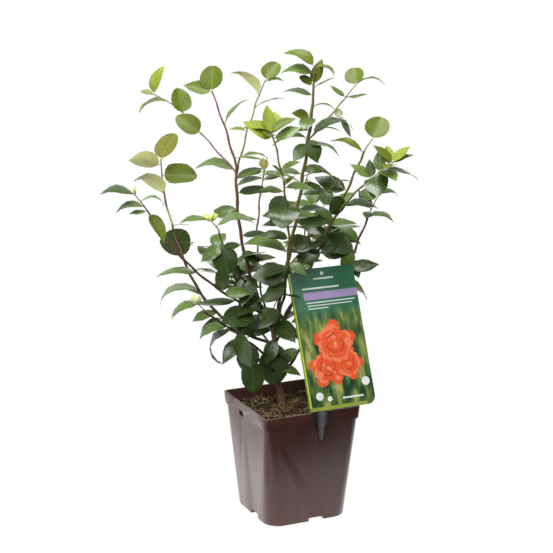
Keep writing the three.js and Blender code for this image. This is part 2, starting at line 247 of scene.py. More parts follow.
# Polypropylene from a polished mould: satin, its brown and its gloss clouded in patches about
# 18 mm wide and drawn out lengthwise, coarser than real flow marks so that they show.
moulded, tree, shader = new_material("moulded_polypropylene", Roughness=0.24, IOR=1.5)
place = add_node(tree, "TexCoord")
drag = add_node(tree, "Mapping", {"Vector": place.outputs["Object"], "Scale": (1, 1, 0.12)})
cloud = add_node(tree, "TexNoise", {"Vector": drag.outputs[0], "Scale": 55.0, "Detail": 4.0})
grain = add_node(tree, "TexNoise", {"Vector": place.outputs["Object"], "Scale": 900.0})
tone = add_node(tree, "ValToRGB", {"Fac": cloud.outputs["Fac"]})
tone.color_ramp.elements[0].position = 0.35
tone.color_ramp.elements[0].color = rgb("#4d2f2b")
tone.color_ramp.elements[1].position = 0.7
tone.color_ramp.elements[1].color = rgb("#573632")
tree.links.new(tone.outputs["Color"], shader.inputs["Base Color"])
gloss = add_node(tree, "MapRange", {"Value": cloud.outputs["Fac"], "To Min": 0.16,
                                    "To Max": 0.32})
tree.links.new(gloss.outputs["Result"], shader.inputs["Roughness"])
bump = add_node(tree, "Bump", {"Strength": 0.08, "Distance": 0.2 * MM,
                               "Height": grain.outputs["Fac"]})
tree.links.new(bump.outputs["Normal"], shader.inputs["Normal"])
pot.data.materials.append(moulded)
stands_for(pot, "pot_plastic", "pot")

# Peat -----------------------------------------------------------------------------------
# A root ball of dark peat, its top loose and lumpy, with crumbs of bark and straw-coloured
# fibres lying on it, thickest round the foot of the trunk.

# How far the pot's walls, its crumbs and the middles of its fibres reach from its centre.
POT_INSIDE = 83.5 * MM
CRUMB_REACH = 81 * MM
FIBRE_REACH = 78 * MM
PEAT_SINKS_FROM = 66 * MM  # from the centre; towards the wall the peat sinks
PEAT_SINKS_OVER = 17 * MM
PEAT_CELLS = 68  # along each side of the peat's top
CRUMB_COUNT = 2300
FIBRE_COUNT = 420
TRUNK_FOOT = (-12 * MM, 5 * MM)
MOUND_WIDE = 35 * MM  # the heap round the trunk's foot
litter = np.random.default_rng(20)
peat_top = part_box("soil")[1].z

root_ball = copy_of("soil", "root_ball")
only(root_ball)
bpy.ops.object.mode_set(mode="EDIT")
bpy.ops.mesh.select_mode(type="FACE")
bpy.ops.mesh.select_all(action="DESELECT")
bpy.ops.object.mode_set(mode="OBJECT")
for face in root_ball.data.polygons:
    face.select = face.normal.z > 0.9 and face.center.z > peat_top - 0.1 * MM
bpy.ops.object.mode_set(mode="EDIT")
bpy.ops.mesh.delete(type="ONLY_FACE")
bpy.ops.mesh.primitive_grid_add(x_subdivisions=PEAT_CELLS, y_subdivisions=PEAT_CELLS,
                                size=2 * POT_INSIDE, location=(0, 0, peat_top))
bpy.ops.mesh.select_mode(type="EDGE")
bpy.ops.mesh.select_all(action="DESELECT")
bpy.ops.mesh.select_non_manifold()
bpy.ops.mesh.bridge_edge_loops()
bpy.ops.mesh.select_all(action="SELECT")
bpy.ops.mesh.normals_make_consistent(inside=False)
bpy.ops.mesh.flip_normals()  # the line above leaves this wide, flat ball inside out
bpy.ops.mesh.select_mode(type="VERT")
bpy.ops.object.mode_set(mode="OBJECT")


def lumps(x, y, scale, seed):
    """A few crossing waves, as a height between about -1 and 1."""
    ways = np.random.default_rng(seed).uniform(0, 2 * math.pi, (7, 2))
    return sum(np.sin((x * np.cos(a) + y * np.sin(a)) / scale * (1 + 0.3 * k) + b)
               for k, (a, b) in enumerate(ways)) / 3.5


def peat_height(x, y):
    """How far the loose peat stands above its flat top, in metres; it sinks at the wall."""
    edge = np.clip((np.maximum(abs(x), abs(y)) - PEAT_SINKS_FROM) / PEAT_SINKS_OVER, 0, 1)
    broad = 1.9 * lumps(x, y, 0.010, 1)
    middling = 1.3 * lumps(x, y, 0.0042, 2)
    fine = 0.6 * lumps(x, y, 0.0018, 3)
    mound = 4.5 * np.exp(-((x - TRUNK_FOOT[0]) ** 2 + (y - TRUNK_FOOT[1]) ** 2) / MOUND_WIDE**2)
    return (broad + middling + fine + mound - 2.5 * edge**2 + 0.4) * MM


for v in root_ball.data.vertices:
    if abs(v.co.z - peat_top) < 0.01 * MM and max(abs(v.co.x), abs(v.co.y)) <= POT_INSIDE + 1e-6:
        v.co.z += peat_height(v.co.x, v.co.y)


class Sheaf:
    """Many small closed shapes gathered as arrays, to be joined into one mesh."""

    def __init__(self):
        self.places, self.faces, self.slots, self.maps = [], [], [], []

    def add(self, places, faces, slots, maps=None):
        """One more shape. slots is the material slot of all its faces, or a list with each's."""
        start = len(self.places)
        self.places += [tuple(p) for p in places]
        self.faces += [[start + i for i in f] for f in faces]
        self.slots += slots if isinstance(slots, list) else [slots] * len(faces)
        if maps:
            self.maps += maps

    def piece(self, name, materials, smooth=60):
        """All the shapes as one object, smooth but for its edges sharper than smooth degrees."""
        mesh = bpy.data.meshes.new(name)
        mesh.from_pydata(self.places, [], self.faces)
        mesh.polygons.foreach_set("material_index", self.slots)
        for m in materials:
            mesh.materials.append(m)
        if self.maps:
            on_leaf = mesh.uv_layers.new(name="leaf")
            on_leaf.data.foreach_set("uv", [c for f in self.maps for uv in f for c in uv])
        mesh.update()
        made = bpy.data.objects.new(name, mesh)
        bpy.context.scene.collection.objects.link(made)
        smooth_under(made, smooth)
        return made


def unit(v):
    """The same direction, at length one."""
    v = np.asarray(v, float)
    return v / max(np.linalg.norm(v), 1e-12)


def add_tube(sheaf, points, radii, sides=6, slot=0, ridges=None):
    """A closed tube along points, its rings turned as little as can be from one to the next."""
    points = np.asarray(points, float)
    along = np.gradient(points, axis=0)
    upright = abs(unit(along[0])[2]) >= 0.9
    across = unit(np.cross(along[0], (1, 0, 0) if upright else (0.31, 0.17, 0.93)))
    places = []
    turns = np.arange(sides) / sides * 2 * math.pi
    for k, (centre, ahead) in enumerate(zip(points, along)):
        ahead = unit(ahead)
        across = unit(across - ahead * (across @ ahead))
        other = np.cross(ahead, across)
        reach = radii[k] * (ridges(k, turns) if ridges else np.ones(sides))
        places += list(centre + (np.cos(turns) * reach)[:, None] * across
                       + (np.sin(turns) * reach)[:, None] * other)
    faces = [list(range(sides))[::-1]]
    for k in range(len(points) - 1):
        for i in range(sides):
            j = (i + 1) % sides
            faces.append([k * sides + i, k * sides + j, (k + 1) * sides + j, (k + 1) * sides + i])
    faces.append([(len(points) - 1) * sides + i for i in range(sides)])
    sheaf.add(places, faces, slot)


CRUMB = [(0, 0, 1), (1, 0, 0.1), (0.2, 1, 0), (-1, 0.1, 0.15), (-0.1, -1, 0.05), (0, 0, -0.8)]
CRUMB_FACES = [[0, 1, 2], [0, 2, 3], [0, 3, 4], [0, 4, 1],
               [5, 2, 1], [5, 3, 2], [5, 4, 3], [5, 1, 4]]
crumbs = Sheaf()
for _ in range(CRUMB_COUNT):
    x, y = litter.uniform(-CRUMB_REACH, CRUMB_REACH, 2)
    size = litter.gamma(3, 0.55) * MM
    corners = np.array(CRUMB) * litter.uniform(0.55, 1.35, (6, 1)) * size
    corners = corners * litter.uniform(0.6, 1.5, 3)
    turn = litter.uniform(0, 2 * math.pi)
    c, s = math.cos(turn), math.sin(turn)
    corners = corners @ np.array([[c, s, 0], [-s, c, 0], [0, 0, 1]])
    corners += (x, y, peat_top + peat_height(x, y) + size * 0.15)
    crumbs.add(corners, CRUMB_FACES, int(litter.choice(4, p=(0.45, 0.3, 0.17, 0.08))))

fibres = Sheaf()
for _ in range(FIBRE_COUNT):
    if litter.random() < 0.45:
        spot = litter.normal((TRUNK_FOOT[0], 0), 0.026)
    else:
        spot = litter.uniform(-FIBRE_REACH, FIBRE_REACH, 2)
    x, y = spot.clip(-FIBRE_REACH, FIBRE_REACH)
    length = litter.uniform(9, 30) * MM
    turn = litter.uniform(0, 2 * math.pi)
    steps = np.linspace(-0.5, 0.5, 6)
    bend = litter.uniform(-0.35, 0.35)
    xs = x + length * (steps * math.cos(turn) - bend * steps**2 * math.sin(turn))
    ys = y + length * (steps * math.sin(turn) + bend * steps**2 * math.cos(turn))
    inside = (abs(xs) < CRUMB_REACH) & (abs(ys) < CRUMB_REACH)
    if inside.sum() < 4:
        continue
    xs, ys = xs[inside], ys[inside]
    lift = litter.uniform(0.8, 3.4) * MM
    lift = lift + litter.uniform(-0.12, 0.12) * length * np.linspace(-1, 1, len(xs))
    zs = peat_top + np.maximum(peat_height(xs, ys) + lift, 0.5 * MM)
    wide = litter.uniform(0.3, 0.85) * MM
    add_tube(fibres, np.stack([xs, ys, zs], 1), np.linspace(wide, wide * 0.5, len(xs)), 4,
             int(litter.choice(3, p=(0.4, 0.35, 0.25))))


def mottled(name, low, high, scale, rough, depth, detail=3.0):
    """A rough natural surface in two shades, with a bump. scale is in spots to the metre."""
    made, tree, shader = new_material(name, Roughness=rough)
    place = add_node(tree, "TexCoord")
    cloud = add_node(tree, "TexNoise", {"Vector": place.outputs["Object"], "Scale": scale,
                                        "Detail": detail})
    tone = add_node(tree, "MapRange", {"Value": cloud.outputs["Fac"], "From Min": 0.35,
                                       "From Max": 0.65})
    mixed = add_node(tree, "Mix", {0: tone.outputs["Result"], 6: rgb(low), 7: rgb(high)},
                     data_type="RGBA")
    tree.links.new(mixed.outputs[2], shader.inputs["Base Color"])
    bump = add_node(tree, "Bump", {"Strength": 0.7, "Distance": depth,
                                   "Height": cloud.outputs["Fac"]})
    tree.links.new(bump.outputs["Normal"], shader.inputs["Normal"])
    return made


damp_peat = mottled("damp_peat", "#17100b", "#3d2c20", 420, 0.95, 1.2 * MM, 6.0)
root_ball.data.materials.append(damp_peat)
smooth_under(root_ball, 50)
stands_for(root_ball, "peat", "soil")

# Peat crumbs are dull and nearly black; the bark among them is redder and paler.
crumb_piece = crumbs.piece("peat_crumbs", [
    mottled("peat_crumb", "#120c08", "#2c2018", 600, 0.95, 0.5 * MM),
    mottled("brown_crumb", "#2d1f15", "#4a3627", 600, 0.95, 0.5 * MM),
    mottled("bark_crumb", "#55402c", "#7a6145", 500, 0.9, 0.5 * MM),
    mottled("pale_crumb", "#8a7857", "#a8966f", 500, 0.9, 0.5 * MM),
], 30)
fibre_piece = fibres.piece("peat_fibres", [
    mottled("straw_fibre", "#8c7748", "#b59d68", 300, 0.8, 0.2 * MM),
    mottled("brown_fibre", "#5c4429", "#84673f", 300, 0.85, 0.2 * MM),
    mottled("dark_fibre", "#2e2117", "#4a3725", 300, 0.9, 0.2 * MM),
])
for piece in (crumb_piece, fibre_piece):
    stands_for(piece, "peat", "soil")

# Trunk and boughs -----------------------------------------------------------------------
# One short trunk flares into the peat and leans to the left, and its boughs fan out of it,
# each a long shoot of last year's wood. Bark is fissured lengthwise low down and smooth above.

# Each limb leaves its parent at a share of its length, and ends `rise` above and `reach` away
# from there, towards `way` in degrees; `bow` sags its middle and `sway` moves it to the left.
# name: (parent, share, rise, reach, way, bow, sway, thickness at foot, at tip), in millimetres
LIMBS = {
    "trunk": (None, 0, 143, 17, 144, 4, 0, 11, 8),
    "left_rear_foot": ("trunk", 0.8, 130, 165, 135, 30, 0, 5.5, 4.5),
    "left_rear": ("left_rear_foot", 1, 125, 55, 110, 5, 0, 4.4, 3),
    "left_tall_foot": ("trunk", 0.93, 285, 65, 140, 20, 0, 6.5, 4.8),
    "left_tall": ("left_tall_foot", 1, 125, 45, 130, -2, 0, 4.2, 2.2),
    "left_tall_side": ("left_tall_foot", 0.97, 95, 130, 115, 0, 0, 3, 1.8),
    "left_tall_inner": ("left_tall_foot", 0.95, 135, 70, 30, -5, 0, 3.2, 2),
    "far_left": ("left_tall_foot", 0.12, 200, 215, 185, 20, -10, 4.4, 3),
    "left_bud": ("left_tall_foot", 0.3, 110, 80, 200, 15, 0, 3.4, 2.6),
    "back_thin": ("trunk", 0.86, 245, 125, 75, 20, 15, 4, 2.6),
    "leader": ("trunk", 1, 385, 65, 340, 5, 0, 6.2, 5.2),
    "front_lime": ("trunk", 0.95, 350, 105, 245, 15, 25, 5, 2.6),
    "leader_side": ("leader", 0.84, 60, 100, 25, 0, 0, 3, 2.4),
    "right_main": ("trunk", 0.88, 325, 150, 330, 5, 35, 6, 3.4),
    "right_fork": ("right_main", 0.62, 85, 95, 285, -5, 0, 3.6, 3),
    "right_low": ("trunk", 0.35, 270, 180, 5, 15, 0, 5, 3.4),
    "low_left": ("trunk", 0.55, 120, 155, 195, -5, -5, 4, 3),
    "low_front": ("trunk", 0.43, 45, 65, 215, 0, 0, 4, 3),
    "back_left": ("trunk", 0.72, 90, 125, 95, 5, 5, 4, 3),
    "back_right": ("trunk", 0.78, 140, 125, 35, 5, 0, 4.4, 3.2),
    "back_low": ("trunk", 0.6, 35, 95, 70, 0, 0, 3.6, 3),
}
GOLDEN = ("leader", "leader_side", "front_lime", "left_tall_inner", "right_main", "right_fork")
LIMB_RING = 5 * MM  # between two rings of a limb
SCAR_GAP = 27  # millimetres between leaf scars, each a swelling of the bark
SCAR_SWELL = 0.42 * MM
SCAR_LONG = 3.2 * MM
EASE = 20 * MM  # a limb's ends are straight for about this far
limbs = {}  # name: (points, radii), evenly spaced along it


def limb_point(name, share):
    """The point at a share of a limb's length, and its radius there."""
    points, radii = limbs[name]
    at = np.clip(share, 0, 1) * (len(points) - 1)
    k = min(int(at), len(points) - 2)
    return points[k] * (1 - at + k) + points[k + 1] * (at - k), radii[k]


def limb_course(start, end, middle, foot, tip):
    """Points evenly along the curve from start by middle to end, and the radius at each."""
    t = np.linspace(0, 1, 200)[:, None]
    curve = start * (1 - t) ** 2 + 2 * middle * t * (1 - t) + end * t**2
    far = np.concatenate([[0], np.cumsum(np.linalg.norm(np.diff(curve, axis=0), axis=1))])
    count = max(6, round(far[-1] / LIMB_RING))
    even = np.linspace(0, far[-1], count)
    points = np.stack([np.interp(even, far, curve[:, i]) for i in range(3)], 1)
    return points, np.linspace(foot, tip, count) / 2


for name, (parent, share, rise, reach, way, bow, sway, foot, tip) in LIMBS.items():
    if parent:
        start = limb_point(parent, share)[0]
    else:
        start = np.array([*TRUNK_FOOT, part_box("trunk")[0].z])
    turn = math.radians(way)
    out = np.array([math.cos(turn), math.sin(turn), 0])
    end = start + (out * reach + np.array([0, 0, rise])) * MM
    under = unit(out * rise - np.array([0, 0, reach]))
    leftward = np.array([-out[1], out[0], 0])
    middle = (start + end) / 2 + (2 * bow * under + 2 * sway * leftward) * MM
    limbs[name] = limb_course(start, end, middle, foot * MM, tip * MM)

wood = Sheaf()
knots = np.random.default_rng(5)
for name, (points, radii) in limbs.items():
    s = np.arange(len(points)) * LIMB_RING  # how far each ring is from the limb's foot
    length = len(points) * LIMB_RING
    scars = np.arange(knots.uniform(10, 25), length / MM, SCAR_GAP) * MM
    wobble = knots.uniform(0, 6.28, 6)
    shape = radii.copy()
    for at in scars:
        shape += SCAR_SWELL * np.exp(-((s - at) ** 2) / SCAR_LONG**2)
    crooked = points.copy()  # it bends by 0.9 mm to one side and the other between scars
    ease = np.clip(s / EASE, 0, 1) * np.clip((s[-1] - s) / EASE, 0, 1)
    for axis in range(2):
        swing = np.sin(s / (SCAR_GAP * MM) * math.pi + wobble[axis])
        crooked[:, axis] += ease * 0.9 * MM * swing
    if name == "trunk":
        flare = 4 * MM * np.exp(-np.arange(len(points)) / (len(points) - 1) * 22)

        def bark(k, turns, flare=flare, shape=shape, wobble=wobble):
            folds = 0.045 * np.sin(5 * turns + wobble[2] + 0.25 * k)
            folds = folds + 0.03 * np.sin(9 * turns - 0.4 * k)
            return 1 + flare[k] / shape[k] * (1 + 0.5 * np.cos(4 * turns + 0.6)) + folds

        add_tube(wood, crooked, shape, 20, 0, bark)
    else:

        def bark(k, turns, wobble=wobble):
            ridge = 0.05 * np.sin(3 * turns + wobble[3] + 0.3 * k)
            return 1 + ridge + 0.025 * np.sin(7 * turns + 0.8 * k)

        add_tube(wood, crooked, shape, 10, 2 if name in GOLDEN else 1, bark)
    limbs[name] = (crooked, shape)

# Trunk bark: grey-brown, dull, with fissures 2 to 3 mm apart drawn out along the stem.
trunk_bark, tree, shader = new_material("fissured_bark", Roughness=0.85)
place = add_node(tree, "TexCoord")
drawn_out = add_node(tree, "Mapping", {"Vector": place.outputs["Object"],
                                       "Scale": (1, 1, 0.22)})
fissure = add_node(tree, "TexNoise", {"Vector": drawn_out.outputs[0], "Scale": 480.0,
                                      "Detail": 5.0, "Distortion": 0.6})
shade = add_node(tree, "ValToRGB", {"Fac": fissure.outputs["Fac"]})
for stop, (position, colour) in zip((0, 1), ((0.32, "#35231a"), (0.68, "#8a6a55"))):
    shade.color_ramp.elements[stop].position = position
    shade.color_ramp.elements[stop].color = rgb(colour)
tree.links.new(shade.outputs["Color"], shader.inputs["Base Color"])
bump = add_node(tree, "Bump", {"Strength": 0.9, "Distance": 0.8 * MM,
                               "Height": fissure.outputs["Fac"]})
tree.links.new(bump.outputs["Normal"], shader.inputs["Normal"])


def shoot_bark(name, low, high, streak):
    """Smooth bark, its young colour higher up and darker low down, partly older bark and partly
    painted shade; lightly streaked.
    """
    made, tree, shader = new_material(name, Roughness=0.55)
    place = add_node(tree, "TexCoord")
    parts = add_node(tree, "SeparateXYZ", {0: place.outputs["Object"]})
    height = add_node(tree, "MapRange", {"Value": parts.outputs["Z"], "From Min": 0.36,
                                         "From Max": 0.56})
    # Darker towards the bottom: partly older bark, partly painted shade under the crown.
    age_and_shade = add_node(tree, "Mix", {0: height.outputs["Result"], 6: rgb(low), 7: rgb(high)},
                   data_type="RGBA")
    drawn_out = add_node(tree, "Mapping", {"Vector": place.outputs["Object"],
                                           "Scale": (1, 1, 0.15)})
    lines = add_node(tree, "TexNoise", {"Vector": drawn_out.outputs[0], "Scale": 700.0,
                                        "Detail": 3.0})
    pale = add_node(tree, "MapRange", {"Value": lines.outputs["Fac"], "From Min": 0.5,
                                       "From Max": 0.75, "To Max": 0.6})
    mixed = add_node(tree, "Mix", {0: pale.outputs["Result"], 6: age_and_shade.outputs[2], 7: rgb(streak)},
                     data_type="RGBA")
    tree.links.new(mixed.outputs[2], shader.inputs["Base Color"])
    bump = add_node(tree, "Bump", {"Strength": 0.4, "Distance": 0.3 * MM,
                                   "Height": lines.outputs["Fac"]})
    tree.links.new(bump.outputs["Normal"], shader.inputs["Normal"])
    return made


bough_bark = shoot_bark("bough_bark", "#2c1c17", "#684030", "#94664c")
golden_bark = shoot_bark("golden_bark", "#3a281a", "#6e6428", "#9a8a48")
stem = wood.piece("trunk_and_boughs", [trunk_bark, bough_bark, golden_bark])
stands_for(stem, "trunk_bark", "trunk", *[f"bough_{name}" for name in LIMBS if name != "trunk"])

# Leaves ---------------------------------------------------------------------------------
# Leathery oval leaves with a drawn-out tip, dark and glossy above and pale below, set by turns
# along the shoots. The newest, at the tips, are softer and lime green.

CROWN_TURN = math.radians(-24.7)  # the crown's broad side; leaf headings are counted from it
RIGHTWARD = np.array([math.cos(CROWN_TURN), math.sin(CROWN_TURN), 0])
REARWARD = np.array([-RIGHTWARD[1], RIGHTWARD[0], 0])
UPWARD = np.array([0.0, 0.0, 1.0])
# Half the leaf's width, as a share of its widest, from its base to its tip.
OUTLINE = ((0, 0.1), (0.03, 0.34), (0.1, 0.68), (0.2, 0.9), (0.34, 1.0), (0.5, 0.97),
           (0.65, 0.8), (0.79, 0.5), (0.9, 0.2), (1, 0))
ROUND_OUTLINE = ((0, 0.2), (0.04, 0.55), (0.14, 0.86), (0.3, 1.0), (0.5, 1.0), (0.68, 0.88),
                 (0.84, 0.62), (0.94, 0.34), (1, 0))
ROUND_FROM = 0.8  # leaves broader than this share of their length have the round outline
LEAF_ROWS = (0, 0.04, 0.14, 0.3, 0.5, 0.68, 0.84, 0.94, 1)  # shares of the blade's length
# Slot of each shade in its own piece: lime, young, olive, gold; mid, dark, bronze, fresh.
SHADES = {"l": 0, "y": 1, "o": 2, "g": 3, "m": 0, "d": 1, "b": 2, "f": 3}
YOUNG = "lyog"
UNDERSIDE = 4
LEAF_THICK = 0.6 * MM  # at the midrib; the edge is sharp
young, mature, twigs = Sheaf(), Sheaf(), Sheaf()
chance = np.random.default_rng(11)


def heading(turn, rise):
    """The direction at turn degrees round the crown and rise degrees above level."""
    turn, rise = math.radians(turn), math.radians(rise)
    level = RIGHTWARD * math.cos(turn) + REARWARD * math.sin(turn)
    return level * math.cos(rise) + UPWARD * math.sin(rise)


def add_leaf(base, turn, rise, face, droop, length, shade, wide=0.6, sweep=0):
    """One leaf. turn is its heading, from 0 at the right to 90 at the rear; face tips its upper
    side to the front; droop is how many degrees its blade curves down by, from base to tip, and
    sweep how many it curves to its left. wide is its width as a share of its length."""
    ahead = unit(heading(turn, rise))
    up = unit(UPWARD - ahead * ahead[2]) if abs(ahead[2]) < 0.999 else -REARWARD
    lean = math.radians(face + chance.uniform(-6, 6))
    side_sign = 1 if np.cross(ahead, up) @ REARWARD < 0 else -1
    up = up * math.cos(lean) + side_sign * np.cross(ahead, up) * math.sin(lean)
    side = np.cross(ahead, up)
    length *= MM
    stalk = max(4 * MM, 0.08 * length)
    is_young = shade in YOUNG
    # The blade is folded up along its midrib, domed across and rippled towards its edges.
    fold = math.radians(chance.uniform(14, 28) if is_young else chance.uniform(8, 18))
    dome = chance.uniform(0.02, 0.12) if is_young else chance.uniform(0.18, 0.36)
    half = length * wide / 2 * chance.uniform(0.95, 1.05)
    ripple, phase = chance.uniform(0.01, 0.03), chance.uniform(0, 6.28)
    twist = math.radians(chance.uniform(-12, 12))
    sweep = math.radians(sweep + chance.uniform(-9, 9))
    start = base + ahead * stalk
    stalk_points = [base - ahead * MM, base + ahead * stalk * 0.55, start + ahead * 2.5 * MM]
    add_tube(twigs, stalk_points, [0.95 * MM, 0.75 * MM, 0.6 * MM], 5, 1)
    outline = ROUND_OUTLINE if wide >= ROUND_FROM else OUTLINE
    widths = np.interp(LEAF_ROWS, *zip(*outline)) * half
    ends = len(LEAF_ROWS) - 1
    spans = (-1, -0.5, 0, 0.5, 1)
    places = []
    point = start.copy()
    for k, t in enumerate(LEAF_ROWS):
        bend = math.radians(droop) * (0.45 * t + 0.55 * t * t)
        onward = ahead * math.cos(bend) - up * math.sin(bend)
        risen = up * math.cos(bend) + ahead * math.sin(bend)
        swung = sweep * t
        onward, sideways = (onward * math.cos(swung) - side * math.sin(swung),
                            side * math.cos(swung) + onward * math.sin(swung))
        turned = twist * t
        sideways = sideways * math.cos(turned) + risen * math.sin(turned)
        risen = unit(np.cross(sideways, onward))
        if k:
            point = point + onward * length * (t - LEAF_ROWS[k - 1])
        w = widths[k]
        if k == ends:
            places.append(point)
            break
        for u in spans:
            wave = ripple * length * math.sin(9 * t + phase + (1.7 if u > 0 else 0)) * abs(u)
            lift = abs(u) * w * math.sin(fold) - dome * w * u * u + wave * (w / half)
            places.append(point + sideways * (u * w * math.cos(fold)) + risen * lift)
        for u in spans[1:-1]:
            edge_share = 1 - abs(u)
            places.append(places[8 * k + spans.index(u)] - risen * edge_share * LEAF_THICK)

    def uv(k, u):
        """Where row k's point at u, from -1 to 1 across, lies on the leaf's own map."""
        return (0.5 + 0.48 * u * widths[k] / half, LEAF_ROWS[k])

    # Each row has five points above and three below; the edges are shared.
    above, below = (0, 1, 2, 3, 4), (0, 5, 6, 7, 4)
    faces, slots, maps = [], [], []
    for k in range(ends):
        a, b = 8 * k, 8 * (k + 1)
        last = k == ends - 1
        for row, slot in ((above, SHADES[shade]), (below, UNDERSIDE)):
            for i in range(4):
                if last:
                    face = [a + row[i], a + row[i + 1], b]
                    spot = [uv(k, spans[i]), uv(k, spans[i + 1]), uv(k + 1, 0)]
                else:
                    face = [a + row[i], a + row[i + 1], b + row[i + 1], b + row[i]]
                    spot = [uv(k, spans[i]), uv(k, spans[i + 1]), uv(k + 1, spans[i + 1]),
                            uv(k + 1, spans[i])]
                if row is below:
                    face, spot = face[:1] + face[:0:-1], spot[:1] + spot[:0:-1]
                faces.append(face)
                maps.append(spot)
                slots.append(slot)
    faces.append([0, 5, 6, 7, 4, 3, 2, 1])
    maps.append([uv(0, 0)] * 8)
    slots.append(UNDERSIDE)
    (young if is_young else mature).add(places, faces, slots, maps)
    return point


def limb_leaves(name, rows):
    """Leaves straight on a limb: (share along it, turn, rise, face, droop, length, shade), and
    wide and sweep where they aren't the usual ones."""
    for share, turn, *rest in rows:
        base, _ = limb_point(name, share)
        add_leaf(base, turn, *rest)


def add_shoot(name, share, across, deep, up, thick, rows):
    """A side shoot from a limb to a point across, deep and up from there, and its leaves."""
    start, _ = limb_point(name, share)
    end = start + (RIGHTWARD * across + REARWARD * deep + UPWARD * up) * MM
    out = end - start
    middle = start + out * 0.5 + UPWARD * np.linalg.norm(out) * 0.06
    points, radii = limb_course(start, end, middle, thick * MM, max(1.5, thick * 0.62) * MM)
    add_tube(twigs, points, radii, 7)
    for along, turn, *rest in rows:
        at = along * (len(points) - 1)
        k = min(int(at), len(points) - 2)
        add_leaf(points[k] + (points[k + 1] - points[k]) * (at - k), turn, *rest)
    return end


# Left rear shoot: a folded young leaf on top, two pale ones to the left, one to the right.
add_shoot("left_rear", 1, -3, 0, 48, 3, [
    (1, 50, 52, 8, 5, 51, "o", 0.9), (0.82, 192, 16, -60, 12, 54, "y", 0.78, -12),
    (0.43, 2, 2, 42, 14, 57, "y", 0.82),
])
limb_leaves("left_rear", [
    (0.9, 187, 56, -50, 84, 72, "y", 0.54), (0.5, 4, 10, 0, 20, 26, "m", 0.4),
    (0.46, 140, 74, -40, 5, 36, "y", 0.4),
])
add_shoot("left_rear", 0.1, 18, 12, 20, 2.4, [(1, 180, 2, 84, 5, 54, "d", 0.9)])
limb_leaves("left_rear_foot", [
    (0.69, 186, 48, 5, 138, 96, "m", 0.56), (0.52, 188, 6, 15, 65, 48, "m"),
    (0.47, 205, -18, 25, 55, 50, "d"),
])

# Far left shoot: arching leaves on both sides of a few young buds.
add_shoot("far_left", 1, -22, 0, 30, 2.8, [
    (0.95, 190, 38, 10, 85, 60, "d", 0.7), (0.6, 8, 40, 5, 125, 46, "m"),
    (0.3, 188, 25, 10, 85, 50, "m", 0.5), (0.1, 200, 5, 15, 30, 28, "m"),
    (0.0, 318, -44, 15, 15, 54, "y", 0.55),
])
limb_leaves("far_left", [
    (0.5, 184, 26, 8, 72, 72, "m", 0.64), (0.2, 181, 2, 14, 12, 68, "d", 0.4),
    (0.14, 212, -14, 25, 55, 56, "d", 0.52), (0.06, 350, 2, 20, 45, 50, "d"),
    (0.1, 250, -20, 30, 20, 55, "d"), (0.3, 95, 66, 0, 0, 44, "d"),
    (0.3, 350, 8, 35, 25, 44, "f", 0.75),
])

# Left tall shoot: round young leaves high up, thin arching ones lower down.
limb_leaves("left_tall", [
    (1, 94, 60, 8, 5, 44, "y", 0.95), (1, 180, 12, 40, 10, 46, "y", 0.66),
    (0.55, 12, 74, 0, 68, 60, "m", 0.3), (0.12, 5, 15, 0, 55, 54, "f", 0.4),
])
add_shoot("left_tall_side", 1, -44, 5, 25, 2.2, [
    (1, 10, 86, 46, 52, 52, "l", 0.5), (0.95, 184, 18, -35, 10, 24, "l", 0.7),
    (0.5, 188, 10, -12, 72, 54, "l", 0.6),
])
limb_leaves("left_tall_side", [
    (0.62, 166, 30, 46, 5, 48, "y", 0.88), (0.93, 116, 58, 12, 0, 45, "y", 0.82),
    (0.02, 186, 38, 5, 80, 70, "m"),
])
add_shoot("left_tall_inner", 1, 8, 0, 19, 2, [
    (1, 52, 42, 28, 5, 39, "y", 0.85), (0.85, 8, 30, 5, 70, 34, "f", 0.5),
])
limb_leaves("left_tall_inner", [
    (0.95, 174, 68, -38, 72, 64, "y"), (0.52, 185, 12, 20, 20, 26, "l"),
    (0.8, 12, 36, 0, 48, 52, "f", 0.34),
])
limb_leaves("left_tall_foot", [
    (0.89, 10, 40, 5, 60, 50, "m"), (0.85, 2, 20, 15, 45, 56, "d"),
    (0.93, 8, 38, 15, 45, 50, "m"), (0.71, 168, 30, 42, 62, 50, "m", 0.72),
    (0.52, 300, -10, 10, 40, 38, "d"), (0.55, 190, 0, 15, 40, 40, "d"),
    (0.6, 0, 18, 10, 35, 44, "d"), (0.47, 0, 8, 15, 20, 48, "b"),
    (0.38, 262, -35, 0, 25, 62, "d"), (0.3, 240, -50, 10, 15, 62, "d"),
    (0.2, 230, -5, 20, 20, 55, "d"), (0.04, 186, 2, 22, 15, 74, "d"),
])

# Left bud shoot: a knot of lime buds between two arching leaves, a broad leaf under them.
add_shoot("left_bud", 1, -13, 0, 16, 2.4, [
    (1, 182, 24, 5, 70, 54, "m", 0.45), (0.35, 356, 44, 12, 105, 74, "m", 0.55),
])
limb_leaves("left_bud", [(0.8, 205, -22, 35, 45, 44, "m"), (0.8, 292, -70, 8, 8, 46, "d", 1.0)])

# Thin rear shoot.
add_shoot("back_thin", 1, 3, 0, 26, 2, [
    (0.95, 186, -4, 15, 25, 46, "d"), (0.95, 350, -6, 15, 20, 34, "m"),
    (1, 90, 24, 0, 0, 36, "o", 0.5), (0.3, 20, 25, 0, 40, 50, "m"),
])
add_shoot("back_thin", 1, 9, 0, 48, 1.5, [(1, 181, 32, 5, 68, 44, "f", 0.4)])
limb_leaves("back_thin", [(0.78, 190, 20, 10, 30, 32, "m")])

